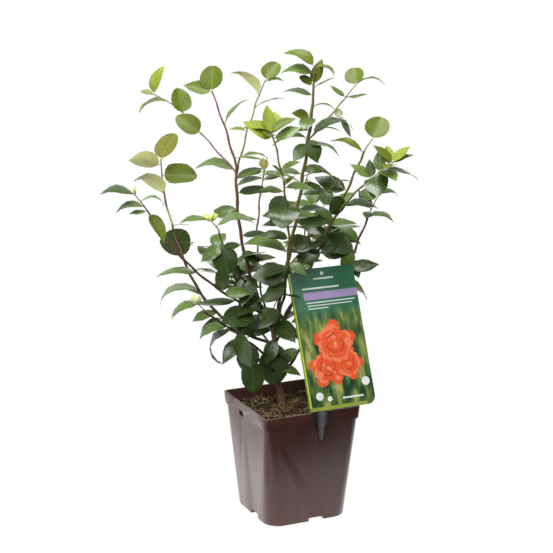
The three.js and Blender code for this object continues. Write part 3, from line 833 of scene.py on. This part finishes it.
# Front shoot: a lime rosette at its tip, dark leaves below it.
add_shoot("front_lime", 1, -5, 0, 13, 2.8, [
    (0.1, 186, 30, 42, 10, 52, "l", 0.72), (0.6, 120, 62, 15, 0, 46, "l", 0.5),
    (0.5, 75, 50, 8, 8, 42, "l", 0.75), (0.05, 350, 28, 30, 12, 44, "m", 0.7),
    (0.9, 14, 27, 25, 5, 44, "y", 0.55), (1, 176, 10, 5, 12, 44, "y", 0.5),
    (0.9, 50, 22, 20, 5, 36, "y", 0.6), (0.3, 250, 20, 20, 10, 30, "y", 0.7),
])
limb_leaves("front_lime", [
    (0.86, 8, 30, 18, 30, 32, "f"), (0.8, 262, 34, 20, 0, 22, "y"),
    (0.78, 20, 42, 20, 0, 20, "y"), (0.84, 190, 40, 20, 0, 18, "y"),
    (0.69, 262, 5, 0, 75, 60, "d", 0.85), (0.77, 2, 20, 12, 60, 50, "m"),
    (0.74, 232, -52, 60, 15, 50, "d", 0.72), (0.75, 184, 22, 25, 40, 38, "m", 0.6),
    (0.66, 186, -6, 30, 20, 40, "d", 0.7), (0.63, 6, 20, 20, 45, 46, "m"),
    (0.6, 188, 10, 20, 40, 40, "d"), (0.24, 190, -10, 25, 30, 46, "d"),
    (0.14, 205, -30, 30, 20, 46, "d"), (0.45, 182, 42, 22, 78, 78, "m", 0.5),
    (0.52, 184, 32, 20, 60, 48, "d"), (0.38, 200, -5, 20, 40, 46, "d"),
    (0.34, 188, 4, 60, 20, 56, "d", 0.78), (0.3, 215, -28, 40, 15, 50, "d"),
    (0.82, 182, 26, 8, 65, 44, "m"), (0.4, 340, -20, 30, 30, 34, "m"),
])

# Leader: the tallest shoot, with young leaves at its top.
add_shoot("leader", 1, 2, 0, 60, 4.6, [
    (1, 172, 46, 28, 66, 58, "y", 0.6), (0.8, 184, 36, 20, 84, 58, "f", 0.62),
    (0.95, 345, 22, 5, 100, 38, "y", 0.5), (0.5, 30, 66, 25, 0, 42, "y", 0.6),
    (0.5, 185, 30, 45, 0, 24, "y", 0.8), (0.42, 5, 34, 0, 20, 36, "f", 0.5),
    (0.2, 182, 32, 12, 62, 52, "f", 0.66),
])
limb_leaves("leader", [
    (0.94, 190, 14, 45, 10, 30, "y", 0.75), (0.885, 196, 10, 20, 35, 30, "f"),
    (0.85, 183, 12, 5, 55, 60, "y", 0.45), (0.85, 315, -55, 25, 30, 42, "m", 0.75),
    (0.82, 352, 14, 8, 80, 60, "m", 0.45), (0.83, 215, -42, 40, 25, 36, "m", 0.7),
    (0.94, 250, -10, 10, 40, 34, "m", 0.8), (0.7, 15, 26, 22, 75, 50, "f"),
    (0.65, 340, 0, 20, 40, 36, "d"), (0.69, 184, 30, 8, 75, 56, "m"),
    (0.6, 2, 22, 8, 35, 52, "m"), (0.515, 5, 28, 12, 50, 52, "d"),
    (0.485, 2, 6, 34, 15, 54, "d", 0.74), (0.3, 338, -2, 12, 15, 40, "m"),
    (0.36, 350, 10, 25, 10, 36, "d"), (0.03, 305, -15, 40, 25, 56, "d"),
])
add_shoot("leader", 0.68, 22, 0, 8, 1.4, [(1, 5, 5, 5, 70, 34, "y", 0.45)])
add_shoot("leader_side", 1, 17, 0, 22, 2, [
    (1, 95, 40, 15, 5, 38, "y", 0.9), (1, 3, 42, 0, 100, 56, "y", 0.45),
    (0.05, 170, 42, 20, 15, 30, "m"), (0.05, 0, 16, 8, 15, 34, "m"),
])
limb_leaves("leader_side", [
    (0.1, 12, 54, 10, 112, 84, "d", 0.52), (0.72, 178, 40, 0, 85, 42, "y", 0.3),
    (0.3, 2, 2, 0, 30, 34, "y", 0.25),
])
add_shoot("leader_side", 0.12, 48, 0, 30, 1.6, [
    (1, 345, -62, 10, 10, 34, "d", 0.75), (0.9, 90, 40, 0, 20, 24, "f"),
])

# Right shoots.
add_shoot("right_main", 1, 13, 0, 20, 2.4, [(1, 58, 42, 20, 5, 45, "y", 1.0)])
limb_leaves("right_main", [
    (0.99, 176, 40, 22, 60, 60, "y", 0.42), (0.78, 166, 22, 40, 15, 58, "d"),
    (0.75, 212, -50, 75, 5, 34, "d", 0.85), (0.46, 350, 20, 62, 70, 62, "d", 0.85),
    (0.42, 184, 48, 45, 0, 50, "d", 0.8), (0.55, 160, 20, 20, 30, 46, "d"),
    (0.47, 215, -28, 20, 20, 50, "d"), (0.52, 190, -25, 30, 20, 34, "d"),
    (0.83, 172, 12, 0, 82, 38, "y", 0.3),
])
add_shoot("right_fork", 1, 34, 5, 26, 2.6, [
    (1, 168, 40, 20, 5, 40, "y", 0.68), (1, 15, 44, 20, 5, 36, "l", 0.68),
    (0.95, 5, 22, 20, 10, 36, "y"), (0.35, 80, 68, 5, 0, 34, "f", 0.62),
    (0.0, 110, 62, 20, 0, 30, "d", 0.6), (0.1, 262, -50, 10, 10, 34, "d", 0.7),
    (0.5, 266, -42, 10, 20, 40, "d"), (0.4, 2, 12, 12, 60, 66, "d", 0.46),
    (0.0, 166, 40, 20, 30, 42, "f"), (0.8, 90, 50, 10, 0, 34, "l", 0.7),
    (0.5, 286, 2, 0, 25, 54, "f", 0.6), (0.15, 268, -12, 5, 30, 56, "d", 0.7),
    (0.85, 262, 10, 0, 20, 46, "y", 0.6),
])
limb_leaves("right_fork", [(0.28, 4, 30, 12, 80, 64, "d", 0.5)])
add_shoot("right_low", 1, 18, 0, 38, 2, [
    (1, 190, 8, 50, 10, 30, "m", 0.8), (1, 350, 42, 15, 120, 38, "d", 0.6),
    (0.1, 350, 20, 15, 98, 50, "m"), (0.3, 130, 50, 10, 10, 40, "d"),
    (0.2, 262, 10, 10, 40, 36, "d"),
])
limb_leaves("right_low", [
    (0.71, 2, 6, 30, 12, 54, "d"), (0.6, 0, 4, 12, 80, 60, "o", 0.75),
    (0.8, 205, -42, 35, 15, 34, "m", 0.75), (0.76, 320, -58, 30, 10, 34, "m", 0.7),
])

# Low growth: long arching leaves over the pot's left rim, broad hanging ones at its middle.
low_bud = add_shoot("low_left", 0.93, -17, 0, 18, 2, [(0.98, 190, 16, 8, 108, 58, "m")])
limb_leaves("low_left", [
    (0.66, 190, 20, 5, 95, 56, "m"), (0.6, 186, -4, 8, 168, 90, "d", 0.38),
    (0.56, 290, -38, 60, 28, 66, "d", 0.66), (0.7, 30, 10, 20, 40, 50, "d"),
    (0.38, 262, -68, 10, 12, 54, "d", 0.74), (0.46, 222, -30, 30, 40, 54, "d", 0.55),
])
add_shoot("low_front", 1, -8, -2, -3, 1.8, [(1, 272, -84, 6, 4, 52, "d", 0.84)])
limb_leaves("trunk", [
    (0.75, 262, -72, 8, 10, 60, "d", 0.88), (0.82, 330, -35, 10, 20, 36, "d"),
    (0.88, 240, -58, 0, 15, 46, "d"), (0.5, 335, 14, 20, 70, 44, "m", 0.5),
    (0.55, 18, 36, 25, 10, 40, "m", 0.8), (0.6, 10, 12, 0, 150, 40, "m", 0.3),
])

# Inner and rear growth, by a seeded rule: from its limb each mass sends out side shoots that
# fill its own space, each with leaves two fifths of a turn apart and a tuft at its tip.
# (mass, limb, share of the limb, side shoots, leaves on each, shades)
GROWTH = (
    ("back_left", "back_left", 0.75, 7, 4, "mdd"),
    ("back_right", "back_right", 0.75, 7, 4, "mdm"),
    ("back_low", "back_low", 0.8, 4, 4, "ddm"),
    ("low_right", "right_low", 0.4, 5, 4, "ddm"),
    ("left_core", "left_tall_foot", 0.4, 3, 4, "ddm"),
    ("middle_core", "leader", 0.2, 3, 4, "ddd"),
    ("high_middle", "leader", 0.6, 1, 3, "mfm"),
    ("right_middle", "right_main", 0.5, 2, 4, "dmd"),
    ("back_left", "back_left", 0.85, 3, 4, "dmm"),
    ("back_right", "back_right", 0.85, 2, 4, "mdm"),
)
grown = np.random.default_rng(7)
OWN_SPACE = 1.28  # how far a mass's leaf tips go, as a share of its half size
# The label's face stays clear: in front of LABEL_REAR and under LABEL_TOP no shoot ends right of
# SHOOT_LEFT and no leaf has its tip right of CARD_LEFT.
LABEL_REAR, LABEL_TOP = 20 * MM, 0.42
SHOOT_LEFT, CARD_LEFT = -46 * MM, -16 * MM
for mass, limb, share, shoots, count, shades in GROWTH:
    low, high = (np.array(corner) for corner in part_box(f"leaves_{mass}"))
    centre, half = (low + high) / 2, (high - low) / 2
    for k in range(shoots):
        start, _ = limb_point(limb, share + grown.uniform(-0.12, 0.12))
        way = unit(grown.normal(0, 1, 3))
        end = centre + way * half * grown.uniform(0.25, 0.6)
        if end[1] < LABEL_REAR and end[2] < LABEL_TOP:
            end[0] = min(end[0], SHOOT_LEFT)
        across, deep = (end - start) @ RIGHTWARD / MM, (end - start) @ REARWARD / MM
        up = (end - start)[2] / MM
        first = grown.uniform(0, 360)
        outward = math.degrees(math.atan2(way @ REARWARD, way @ RIGHTWARD))
        rows = []
        for j in range(count):
            tip = j >= count - 2
            turn = outward + (j - count + 1.5) * 95 if tip else first + 144 * j
            rise = grown.uniform(5, 35) + 18 * way[2] + (8 if tip else 0)
            rows.append((1 if tip else 0.35 + 0.6 * j / count, turn, rise, grown.uniform(-10, 25),
                         grown.uniform(15, 70), grown.uniform(50, 64),
                         shades[int(grown.integers(len(shades)))]))
        kept = []
        for row in rows:
            leaf_tip = start + (end - start) * row[0] + heading(row[1], row[2]) * row[5] * MM
            over_card = (leaf_tip[0] > CARD_LEFT and leaf_tip[1] < LABEL_REAR
                         and leaf_tip[2] < LABEL_TOP)
            if np.linalg.norm((leaf_tip - centre) / half) < OWN_SPACE and not over_card:
                kept.append(row)
        if kept:
            add_shoot(limb, share, across, deep, up, 2.2, kept)


# A leaf's gloss is its wax: sharp on old leaves, softer on new ones. The midrib is a paler
# channel, and the side veins, seven a side, are faint furrows 8 mm apart.
VEINS = 7.0


def leaf_surface(name, blade, rib, cloud, rough, gloss, vein):
    """One face of one shade of leaf: blade and cloud mottle it, rib colours its veins."""
    made, tree, shader = new_material(name, Specular_IOR_Level=gloss)
    spot = add_node(tree, "UVMap", uv_map="leaf")
    parts = add_node(tree, "SeparateXYZ", {0: spot.outputs[0]})
    side = add_node(tree, "Math", {0: parts.outputs["X"], 1: 0.5}, operation="SUBTRACT")
    away = add_node(tree, "Math", {0: side.outputs[0]}, operation="ABSOLUTE")
    on_rib = add_node(tree, "MapRange", {"Value": away.outputs[0], "From Min": 0.008,
                                         "From Max": 0.035, "To Min": 0.8, "To Max": 0.0})
    slant = add_node(tree, "Math", {0: away.outputs[0], 1: -0.55, 2: parts.outputs["Y"]},
                     operation="MULTIPLY_ADD")
    beat = add_node(tree, "Math", {0: slant.outputs[0], 1: 2 * math.pi * VEINS},
                    operation="MULTIPLY")
    wave = add_node(tree, "Math", {0: beat.outputs[0]}, operation="SINE")
    line = add_node(tree, "MapRange", {"Value": wave.outputs[0], "From Min": 0.75, "From Max": 1.0,
                                       "To Max": vein})
    spots = add_node(tree, "TexNoise", {"Vector": spot.outputs[0], "Scale": 4.0, "Detail": 4.0})
    blotch = add_node(tree, "MapRange", {"Value": spots.outputs["Fac"], "From Min": 0.35,
                                         "From Max": 0.7})
    field = add_node(tree, "Mix", {0: blotch.outputs[0], 6: rgb(blade), 7: rgb(cloud)},
                     data_type="RGBA")
    either = add_node(tree, "Math", {0: on_rib.outputs[0], 1: line.outputs[0]}, operation="MAXIMUM")
    colour = add_node(tree, "Mix", {0: either.outputs[0], 6: field.outputs[2], 7: rgb(rib)},
                      data_type="RGBA")
    tree.links.new(colour.outputs[2], shader.inputs["Base Color"])
    wax = add_node(tree, "MapRange", {"Value": spots.outputs["Fac"], "To Min": rough - 0.05,
                                      "To Max": rough + 0.08})
    tree.links.new(wax.outputs[0], shader.inputs["Roughness"])
    dips = add_node(tree, "Math", {0: wave.outputs[0], 1: -0.35, 2: on_rib.outputs[0]},
                    operation="MULTIPLY_ADD")
    bump = add_node(tree, "Bump", {"Strength": 0.3, "Distance": 0.3 * MM,
                                   "Height": dips.outputs[0]}, invert=True)
    tree.links.new(bump.outputs["Normal"], shader.inputs["Normal"])
    return made


YOUNG_SHADES = [
    leaf_surface("leaf_lime", "#7d8a2a", "#8b983c", "#707e24", 0.38, 0.2, 0.12),
    leaf_surface("leaf_young", "#566318", "#667028", "#4c5a14", 0.38, 0.18, 0.1),
    leaf_surface("leaf_olive", "#7a7a30", "#888640", "#6c6d28", 0.38, 0.25, 0.1),
    leaf_surface("leaf_gold", "#a59c44", "#ada552", "#938f38", 0.38, 0.25, 0.1),
    # Young undersides are pale of their own and painted paler still: a painted glow of light
    # shining through the leaf.
    leaf_surface("leaf_young_back_painted_glow", "#d2d494", "#dadba4", "#c6c984", 0.55, 0.2, 0.25),
]
MATURE_SHADES = [
    leaf_surface("leaf_green", "#536a2f", "#647b40", "#485e26", 0.26, 0.5, 0.1),
    leaf_surface("leaf_dark_green", "#384b1f", "#465d2f", "#2f401a", 0.26, 0.46, 0.08),
    leaf_surface("leaf_bronze_green", "#504f27", "#5f5c35", "#454620", 0.28, 0.45, 0.1),
    leaf_surface("leaf_fresh_green", "#556c28", "#667b38", "#4a5f22", 0.27, 0.45, 0.1),
    leaf_surface("leaf_back", "#7d8452", "#898f61", "#747a4a", 0.46, 0.3, 0.25),
]


def leaf_piece(sheaf, name, materials):
    """The joined leaves, with a second map that gives each shade a sixth of one image."""
    made = sheaf.piece(name, materials, 80)
    mesh = made.data
    own = np.array([c for f in sheaf.maps for uv in f for c in uv]).reshape(-1, 2)
    slot = np.repeat(np.array(sheaf.slots), [len(f) for f in sheaf.faces])
    tile = np.array([1 / 3, 1 / 2])
    spread = (np.stack([slot % 3, slot // 3], 1) + 0.04 + 0.92 * own) * tile
    mesh.uv_layers.new(name="OFBake").data.foreach_set("uv", spread.ravel())
    mesh.uv_layers["leaf"].active_render = True
    return made


young_leaves = leaf_piece(young, "young_leaves", YOUNG_SHADES)
mature_leaves = leaf_piece(mature, "mature_leaves", MATURE_SHADES)
YOUNG_MASSES = ("left_rear", "left_tall", "left_tall_side", "left_tall_low", "left_tall_inner",
                "front_lime", "leader", "leader_side", "right_main", "right_fork")
masses = [n for n in frame["nodes"] if n.startswith("leaves_")]
new_growth = [f"leaves_{n}" for n in YOUNG_MASSES]
stands_for(young_leaves, "young_leaf", *new_growth)
stands_for(mature_leaves, "mature_leaf", *[n for n in masses if n not in new_growth])

twig_bark = shoot_bark("twig_bark", "#34221b", "#6c5530", "#8a7444")
leaf_stalk, tree, shader = new_material("leaf_stalk", Roughness=0.45)
place = add_node(tree, "TexCoord")
spots = add_node(tree, "TexNoise", {"Vector": place.outputs["Object"], "Scale": 60.0})
green = add_node(tree, "Mix", {0: spots.outputs["Fac"], 6: rgb("#5d6a2e"), 7: rgb("#8a8f45")},
                 data_type="RGBA")
tree.links.new(green.outputs[2], shader.inputs["Base Color"])
twig_piece = twigs.piece("twigs_and_stalks", [twig_bark, leaf_stalk])
stands_for(twig_piece, "shoot_bark", "bough_leader")

# Buds -----------------------------------------------------------------------------------
# Knots of pointed lime-green leaf buds at a few shoot tips, and one round flower bud, the
# size of a hazelnut, wrapped in overlapping scales.

buds = Sheaf()
dice = np.random.default_rng(3)


def add_bud(base, way, length, width):
    """A pointed bud that grows from its base in a direction; length and width in millimetres."""
    shares = np.linspace(0, 1, 7)
    points = [base + way * length * MM * s for s in shares]
    radii = width / 2 * MM * np.array([0.45, 0.85, 1.0, 0.92, 0.68, 0.36, 0.06])
    add_tube(buds, points, radii, 7)


# (limb, share of it, buds, their length, how far across, deep and up from the limb)
for limb, share, count, size, lift in (
    ("left_bud", 1, 12, 17, (-13, 0, 16)), ("far_left", 1, 3, 13, (-22, 0, 30)),
    ("left_rear", 1, 2, 9, (-3, 0, 46)), ("leader", 0.62, 6, 9, (-10, -12, 4)),
    ("leader", 0.31, 4, 9, (14, -14, 0)), ("leader_side", 0.5, 4, 9, (0, -6, -6)),
    ("right_fork", 1, 2, 8, (29, 5, 18)),
):
    start = limb_point(limb, share)[0]
    start = start + (RIGHTWARD * lift[0] + REARWARD * lift[1] + UPWARD * lift[2]) * MM
    for k in range(count):
        way = unit(heading(dice.uniform(0, 360), dice.uniform(25, 85)))
        add_bud(start, way, size * dice.uniform(0.7, 1.15), size * 0.36)


def bud_skin(name, low, high):
    """The soft skin of a bud: scales 4 mm apart, paler towards their edges, and satin."""
    made, tree, shader = new_material(name, Roughness=0.42)
    place = add_node(tree, "TexCoord")
    scales = add_node(tree, "TexVoronoi", {"Vector": place.outputs["Object"], "Scale": 240.0})
    shade = add_node(tree, "Mix", {0: scales.outputs["Distance"], 6: rgb(low), 7: rgb(high)},
                     data_type="RGBA")
    tree.links.new(shade.outputs[2], shader.inputs["Base Color"])
    bump = add_node(tree, "Bump", {"Strength": 0.3, "Distance": 0.3 * MM,
                                   "Height": scales.outputs["Distance"]})
    tree.links.new(bump.outputs["Normal"], shader.inputs["Normal"])
    return made


bud_piece = buds.piece("leaf_buds", [bud_skin("bud_scale", "#8f9c3a", "#d3d57a")])
stands_for(bud_piece, "young_leaf", "leaves_left_bud")

FLOWER_BUD = 8.6 * MM  # radius
SCALE_RINGS = 2.6  # rings of scales to a radius, each standing proud at its upper edge
SCALE_PROUD = 0.045
bpy.ops.object.select_all(action="DESELECT")
bpy.ops.mesh.primitive_uv_sphere_add(segments=24, ring_count=16, radius=FLOWER_BUD)
flower_bud = bpy.context.object
flower_bud.name = flower_bud.data.name = "flower_bud"
stalk_way = unit(heading(170, 62))
bud_side = unit(np.cross(stalk_way, REARWARD))
bud_rear = np.cross(stalk_way, bud_side)
bud_centre = low_bud + stalk_way * FLOWER_BUD * 0.9
for v in flower_bud.data.vertices:
    x, y, z = np.array(v.co) / FLOWER_BUD
    turn = math.atan2(y, x)
    scale_line = SCALE_PROUD * ((z * SCALE_RINGS + 0.12 * math.sin(3 * turn)) % 1.0)
    wide = (1 + scale_line) * (1 - 0.1 * z)
    tall = z * (1.06 if z > 0 else 0.95) + 0.1 * max(z, 0) ** 6
    v.co = bud_centre + FLOWER_BUD * (bud_side * x * wide + bud_rear * y * wide + stalk_way * tall)
flower_bud.data.materials.append(bud_skin("bud_flower_scale", "#8a9455", "#c9cba0"))
smooth_under(flower_bud, 50)
stands_for(flower_bud, "young_leaf", "leaves_low_left")

# Clip -----------------------------------------------------------------------------------
# A spring clip in dark grey nylon pushed over the rim, its tapered, blunt tongue outside and
# its tab up the back of the label.

clip = copy_of("label_clip", "spring_clip")
apply_modifier(clip, "BEVEL", width=0.5 * MM, segments=2, limit_method="ANGLE",
               angle_limit=math.radians(35))
smooth_under(clip, 40)
# The plate outside the rim has a raised rib down its middle.
clip_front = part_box("label_clip")[0][1]
RIB_LEFT, RIB_RIGHT, RIB_HIGH = 8.5 * MM, 18.5 * MM, 0.7 * MM
RIB_TOP, RIB_FOOT = -2 * MM, -44 * MM  # from the top of the rim
rim_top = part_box("pot")[1][2]
bpy.ops.mesh.primitive_cube_add(size=1, location=(0, 0, 0))
rib = bpy.context.object
rib.name = "clip_rib"
for corner in rib.data.vertices:
    x, y, z = corner.co
    taper = 0.38 if z < 0 else 1.0
    corner.co = ((RIB_LEFT + RIB_RIGHT) / 2 + x * (RIB_RIGHT - RIB_LEFT) * taper,
                 clip_front + y * 2 * RIB_HIGH,
                 rim_top + (RIB_TOP if z > 0 else RIB_FOOT))
apply_modifier(rib, "BEVEL", width=0.3 * MM, segments=2)
only(clip, rib)
bpy.ops.object.join()

# Nylon, satin, with a grain about 1 mm fine; the plate is painted pale grey down its middle and
# dark at both sides: a painted highlight and painted shade.
nylon, tree, shader = new_material("grey_nylon", Roughness=0.4)
place = add_node(tree, "TexCoord")
grain = add_node(tree, "TexNoise", {"Vector": place.outputs["Object"], "Scale": 900.0,
                                    "Detail": 2.0})
parts = add_node(tree, "SeparateXYZ", {0: place.outputs["Object"]})
wide = add_node(tree, "MapRange", {"Value": parts.outputs["X"], "From Max": 27 * MM})
# Painted highlight down the plate's middle, painted shade at its sides.
painted_shading = add_node(tree, "ValToRGB", {"Fac": wide.outputs[0]})
painted_shading.color_ramp.elements[0].position = 0.18
painted_shading.color_ramp.elements[0].color = rgb("#232426")
painted_shading.color_ramp.elements[1].position = 0.9
painted_shading.color_ramp.elements[1].color = rgb("#2f3032")
for at, grey in ((0.36, "#5c5e5e"), (0.58, "#6a6c6c")):
    painted_shading.color_ramp.elements.new(at).color = rgb(grey)
tree.links.new(painted_shading.outputs[0], shader.inputs["Base Color"])
bump = add_node(tree, "Bump", {"Strength": 0.15, "Distance": 0.15 * MM,
                               "Height": grain.outputs["Fac"]})
tree.links.new(bump.outputs["Normal"], shader.inputs["Normal"])
clip.data.materials.append(nylon)
stands_for(clip, "clip_plastic", "label_clip")

# Label ----------------------------------------------------------------------------------
# A glossy printed card, 125 by 242 mm, that leans back over the pot: a dark green field, a
# bare lilac band with plain rules, and generic coral rosettes over blurred foliage.

LABEL_WIDE, LABEL_LONG, LABEL_THICK = 125 * MM, 242 * MM, 1.2 * MM
LABEL_CORNER, TOP_CORNER = 15 * MM, 7 * MM
LABEL_FOOT = np.array([-8 * MM, -92 * MM, 203 * MM])
LEAN = math.radians(23)
CARD_UP = np.array([0, math.sin(LEAN), math.cos(LEAN)])
CARD_OUT = np.array([0, -math.cos(LEAN), math.sin(LEAN)])
INK = 0.06 * MM  # thickness of a printed shape
INK_STEP = 0.12  # how far each petal lies over the one before, in thicknesses of ink


def on_card(x, y, out):
    """A point of the card: x and y from its lower left corner, out from its back."""
    return LABEL_FOOT + np.array([x, 0, 0]) + CARD_UP * y + CARD_OUT * out


def arc(x, y, radius, first, last, steps):
    """Points in metres round a centre, from one angle to another in degrees."""
    turns = [math.radians(first + (last - first) * k / steps) for k in range(steps + 1)]
    return [(x + radius * math.cos(t), y + radius * math.sin(t)) for t in turns]


card = Sheaf()
outline = [(0, 0)]
outline += arc(LABEL_WIDE - LABEL_CORNER, LABEL_CORNER, LABEL_CORNER, -90, 0, 9)
outline += arc(LABEL_WIDE - TOP_CORNER, LABEL_LONG - TOP_CORNER, TOP_CORNER, 0, 90, 5)
outline.append((0, LABEL_LONG))


def add_slab(points, low, high, slot, side_slot=None):
    """A flat shape on the card, from out = low to out = high."""
    count = len(points)
    places = [on_card(x, y, low) for x, y in points] + [on_card(x, y, high) for x, y in points]
    faces = [list(range(count))[::-1], list(range(count, 2 * count))]
    faces += [[i, (i + 1) % count, count + (i + 1) % count, count + i] for i in range(count)]
    card.add(places, faces, [slot, slot] + [slot if side_slot is None else side_slot] * count)


def add_bar(x0, y0, x1, y1, slot):
    """A rectangle of ink, its corners in millimetres."""
    corners = ((x0, y0), (x1, y0), (x1, y1), (x0, y1))
    add_slab([(x * MM, y * MM) for x, y in corners], LABEL_THICK, LABEL_THICK + INK, slot)


add_slab(outline, 0, LABEL_THICK, 0, 1)
add_bar(0.1, 0.1, 1.35, 241.9, 8)  # dark left edge,
add_bar(1.4, 6.1, 4.35, 241.8, 1)  # lime line beside it,
add_bar(4.4, 6.2, 5.8, 241.7, 8)  # and its shadow line
add_bar(1.5, 0.2, 108, 6, 9)  # pale green foot
add_bar(23, 188, 124.9, 201, 2)  # lilac band
for x0, x1, low, high in ((22, 92, 206, 209), (26, 118, 182, 184), (27, 112, 177, 178.6),
                          (28, 66, 172, 173.6), (46, 84, 222, 225), (64, 104, 15, 18)):
    add_bar(x0, low, x1, high, 3)  # plain rules
for x, y, radius in ((64, 232, 3.2), (22, 24, 7), (112, 40, 7.5), (40, 18, 4.5)):
    add_slab(arc(x * MM, y * MM, radius * MM, 0, 345, 23), LABEL_THICK, LABEL_THICK + INK, 3)

# Three rosettes, each of whorls of wavy petals, every whorl smaller and deeper in its colour.
layer = 1
ROSETTES = ((46, 70, 0.86, 0.0), (84, 74, 0.72, 0.5), (66, 110, 1.0, 0.25))
WHORLS = ((9, 40, 15, 4), (8, 33, 13, 5), (8, 26, 11, 4), (6, 18, 9, 6), (5, 11, 6, 4))
for centre_x, centre_y, size, start in ROSETTES:
    for petals, reach, wide, slot in WHORLS:
        for k in range(petals):
            turn = 2 * math.pi * (k + start + 0.41 * layer) / petals
            c, s = math.cos(turn), math.sin(turn)
            for share, ink_slot in ((1.0, slot), (0.8, (5, 4, 4)[(k + slot) % 3])):
                shape = []
                for i in range(20):
                    a = i / 20 * 2 * math.pi
                    ripple = 1 + 0.05 * math.sin(5 * a + k)
                    along = reach * share * size * (0.55 + 0.45 * math.cos(a)) * ripple
                    across = wide * share * size * math.sin(a) * (0.8 + 0.2 * math.cos(a)) * ripple
                    shape.append(((centre_x + along * c - across * s) * MM,
                                  (centre_y + along * s + across * c) * MM))
                height = LABEL_THICK + INK * INK_STEP * layer
                add_slab(shape, height, height + INK, ink_slot)
                layer += 1
    height = LABEL_THICK + INK * (INK_STEP * layer + 0.1)
    eye = arc(centre_x * MM, centre_y * MM, 2.6 * size * MM, 0, 330, 11)
    add_slab(eye, height, height + INK, 7)

# Printed card under a gloss film: the green field turns to blurred foliage below the rules,
# drawn out upwards, its strokes about 13 mm wide.
field, tree, shader = new_material("printed_card", Roughness=0.22)
place = add_node(tree, "TexCoord")
parts = add_node(tree, "SeparateXYZ", {0: place.outputs["Object"]})
below = add_node(tree, "MapRange", {"Value": parts.outputs["Z"], "From Min": 0.345,
                                    "From Max": 0.364})
drawn = add_node(tree, "Mapping", {"Vector": place.outputs["Object"], "Scale": (1, 0.4, 0.32)})
blur = add_node(tree, "TexNoise", {"Vector": drawn.outputs[0], "Scale": 75.0, "Detail": 3.0})
foliage = add_node(tree, "ValToRGB", {"Fac": blur.outputs["Fac"]})
foliage.color_ramp.elements[0].position = 0.36
foliage.color_ramp.elements[0].color = rgb("#24402a")
foliage.color_ramp.elements[1].position = 0.7
foliage.color_ramp.elements[1].color = rgb("#b3ae62")
foliage.color_ramp.elements.new(0.52).color = rgb("#56763a")
# The green field is painted paler towards the card's left edge: a painted glare.
right_edge = LABEL_FOOT[0] + LABEL_WIDE
painted_glare = add_node(tree, "MapRange", {"Value": parts.outputs["X"], "From Min": LABEL_FOOT[0],
                                    "From Max": right_edge})
green = add_node(tree, "Mix", {0: painted_glare.outputs[0], 6: rgb("#447f62"), 7: rgb("#27714c")},
                 data_type="RGBA")
ground = add_node(tree, "Mix", {0: below.outputs[0], 6: foliage.outputs[0], 7: green.outputs[2]},
                  data_type="RGBA")
tree.links.new(ground.outputs[2], shader.inputs["Base Color"])


def ink(name, low, high, scale=60.0):
    """Printing ink under the film, clouded between two shades of its colour."""
    made, tree, shader = new_material(name, Roughness=0.25)
    place = add_node(tree, "TexCoord")
    cloud = add_node(tree, "TexNoise", {"Vector": place.outputs["Object"], "Scale": scale})
    mixed = add_node(tree, "Mix", {0: cloud.outputs["Fac"], 6: rgb(low), 7: rgb(high)},
                     data_type="RGBA")
    tree.links.new(mixed.outputs[2], shader.inputs["Base Color"])
    return made


label = card.piece("printed_label", [
    field, ink("ink_lime", "#b2c22c", "#cfdd48"), ink("ink_lilac", "#ab93c4", "#b9a3cf"),
    ink("ink_white", "#dfe4dc", "#f2f4ee"), ink("ink_coral", "#e3491a", "#f2693a", 150.0),
    ink("ink_light_coral", "#ef6a3c", "#f8926c", 150.0),
    ink("ink_deep_coral", "#c23a14", "#dd4f22", 150.0), ink("ink_yellow", "#d9a92f", "#ecc95a"),
    ink("ink_dark_green", "#2a4420", "#3d5a2a"), ink("ink_pale_green", "#7f9038", "#a3b04a"),
], 30)
stands_for(label, "label_card", "label")
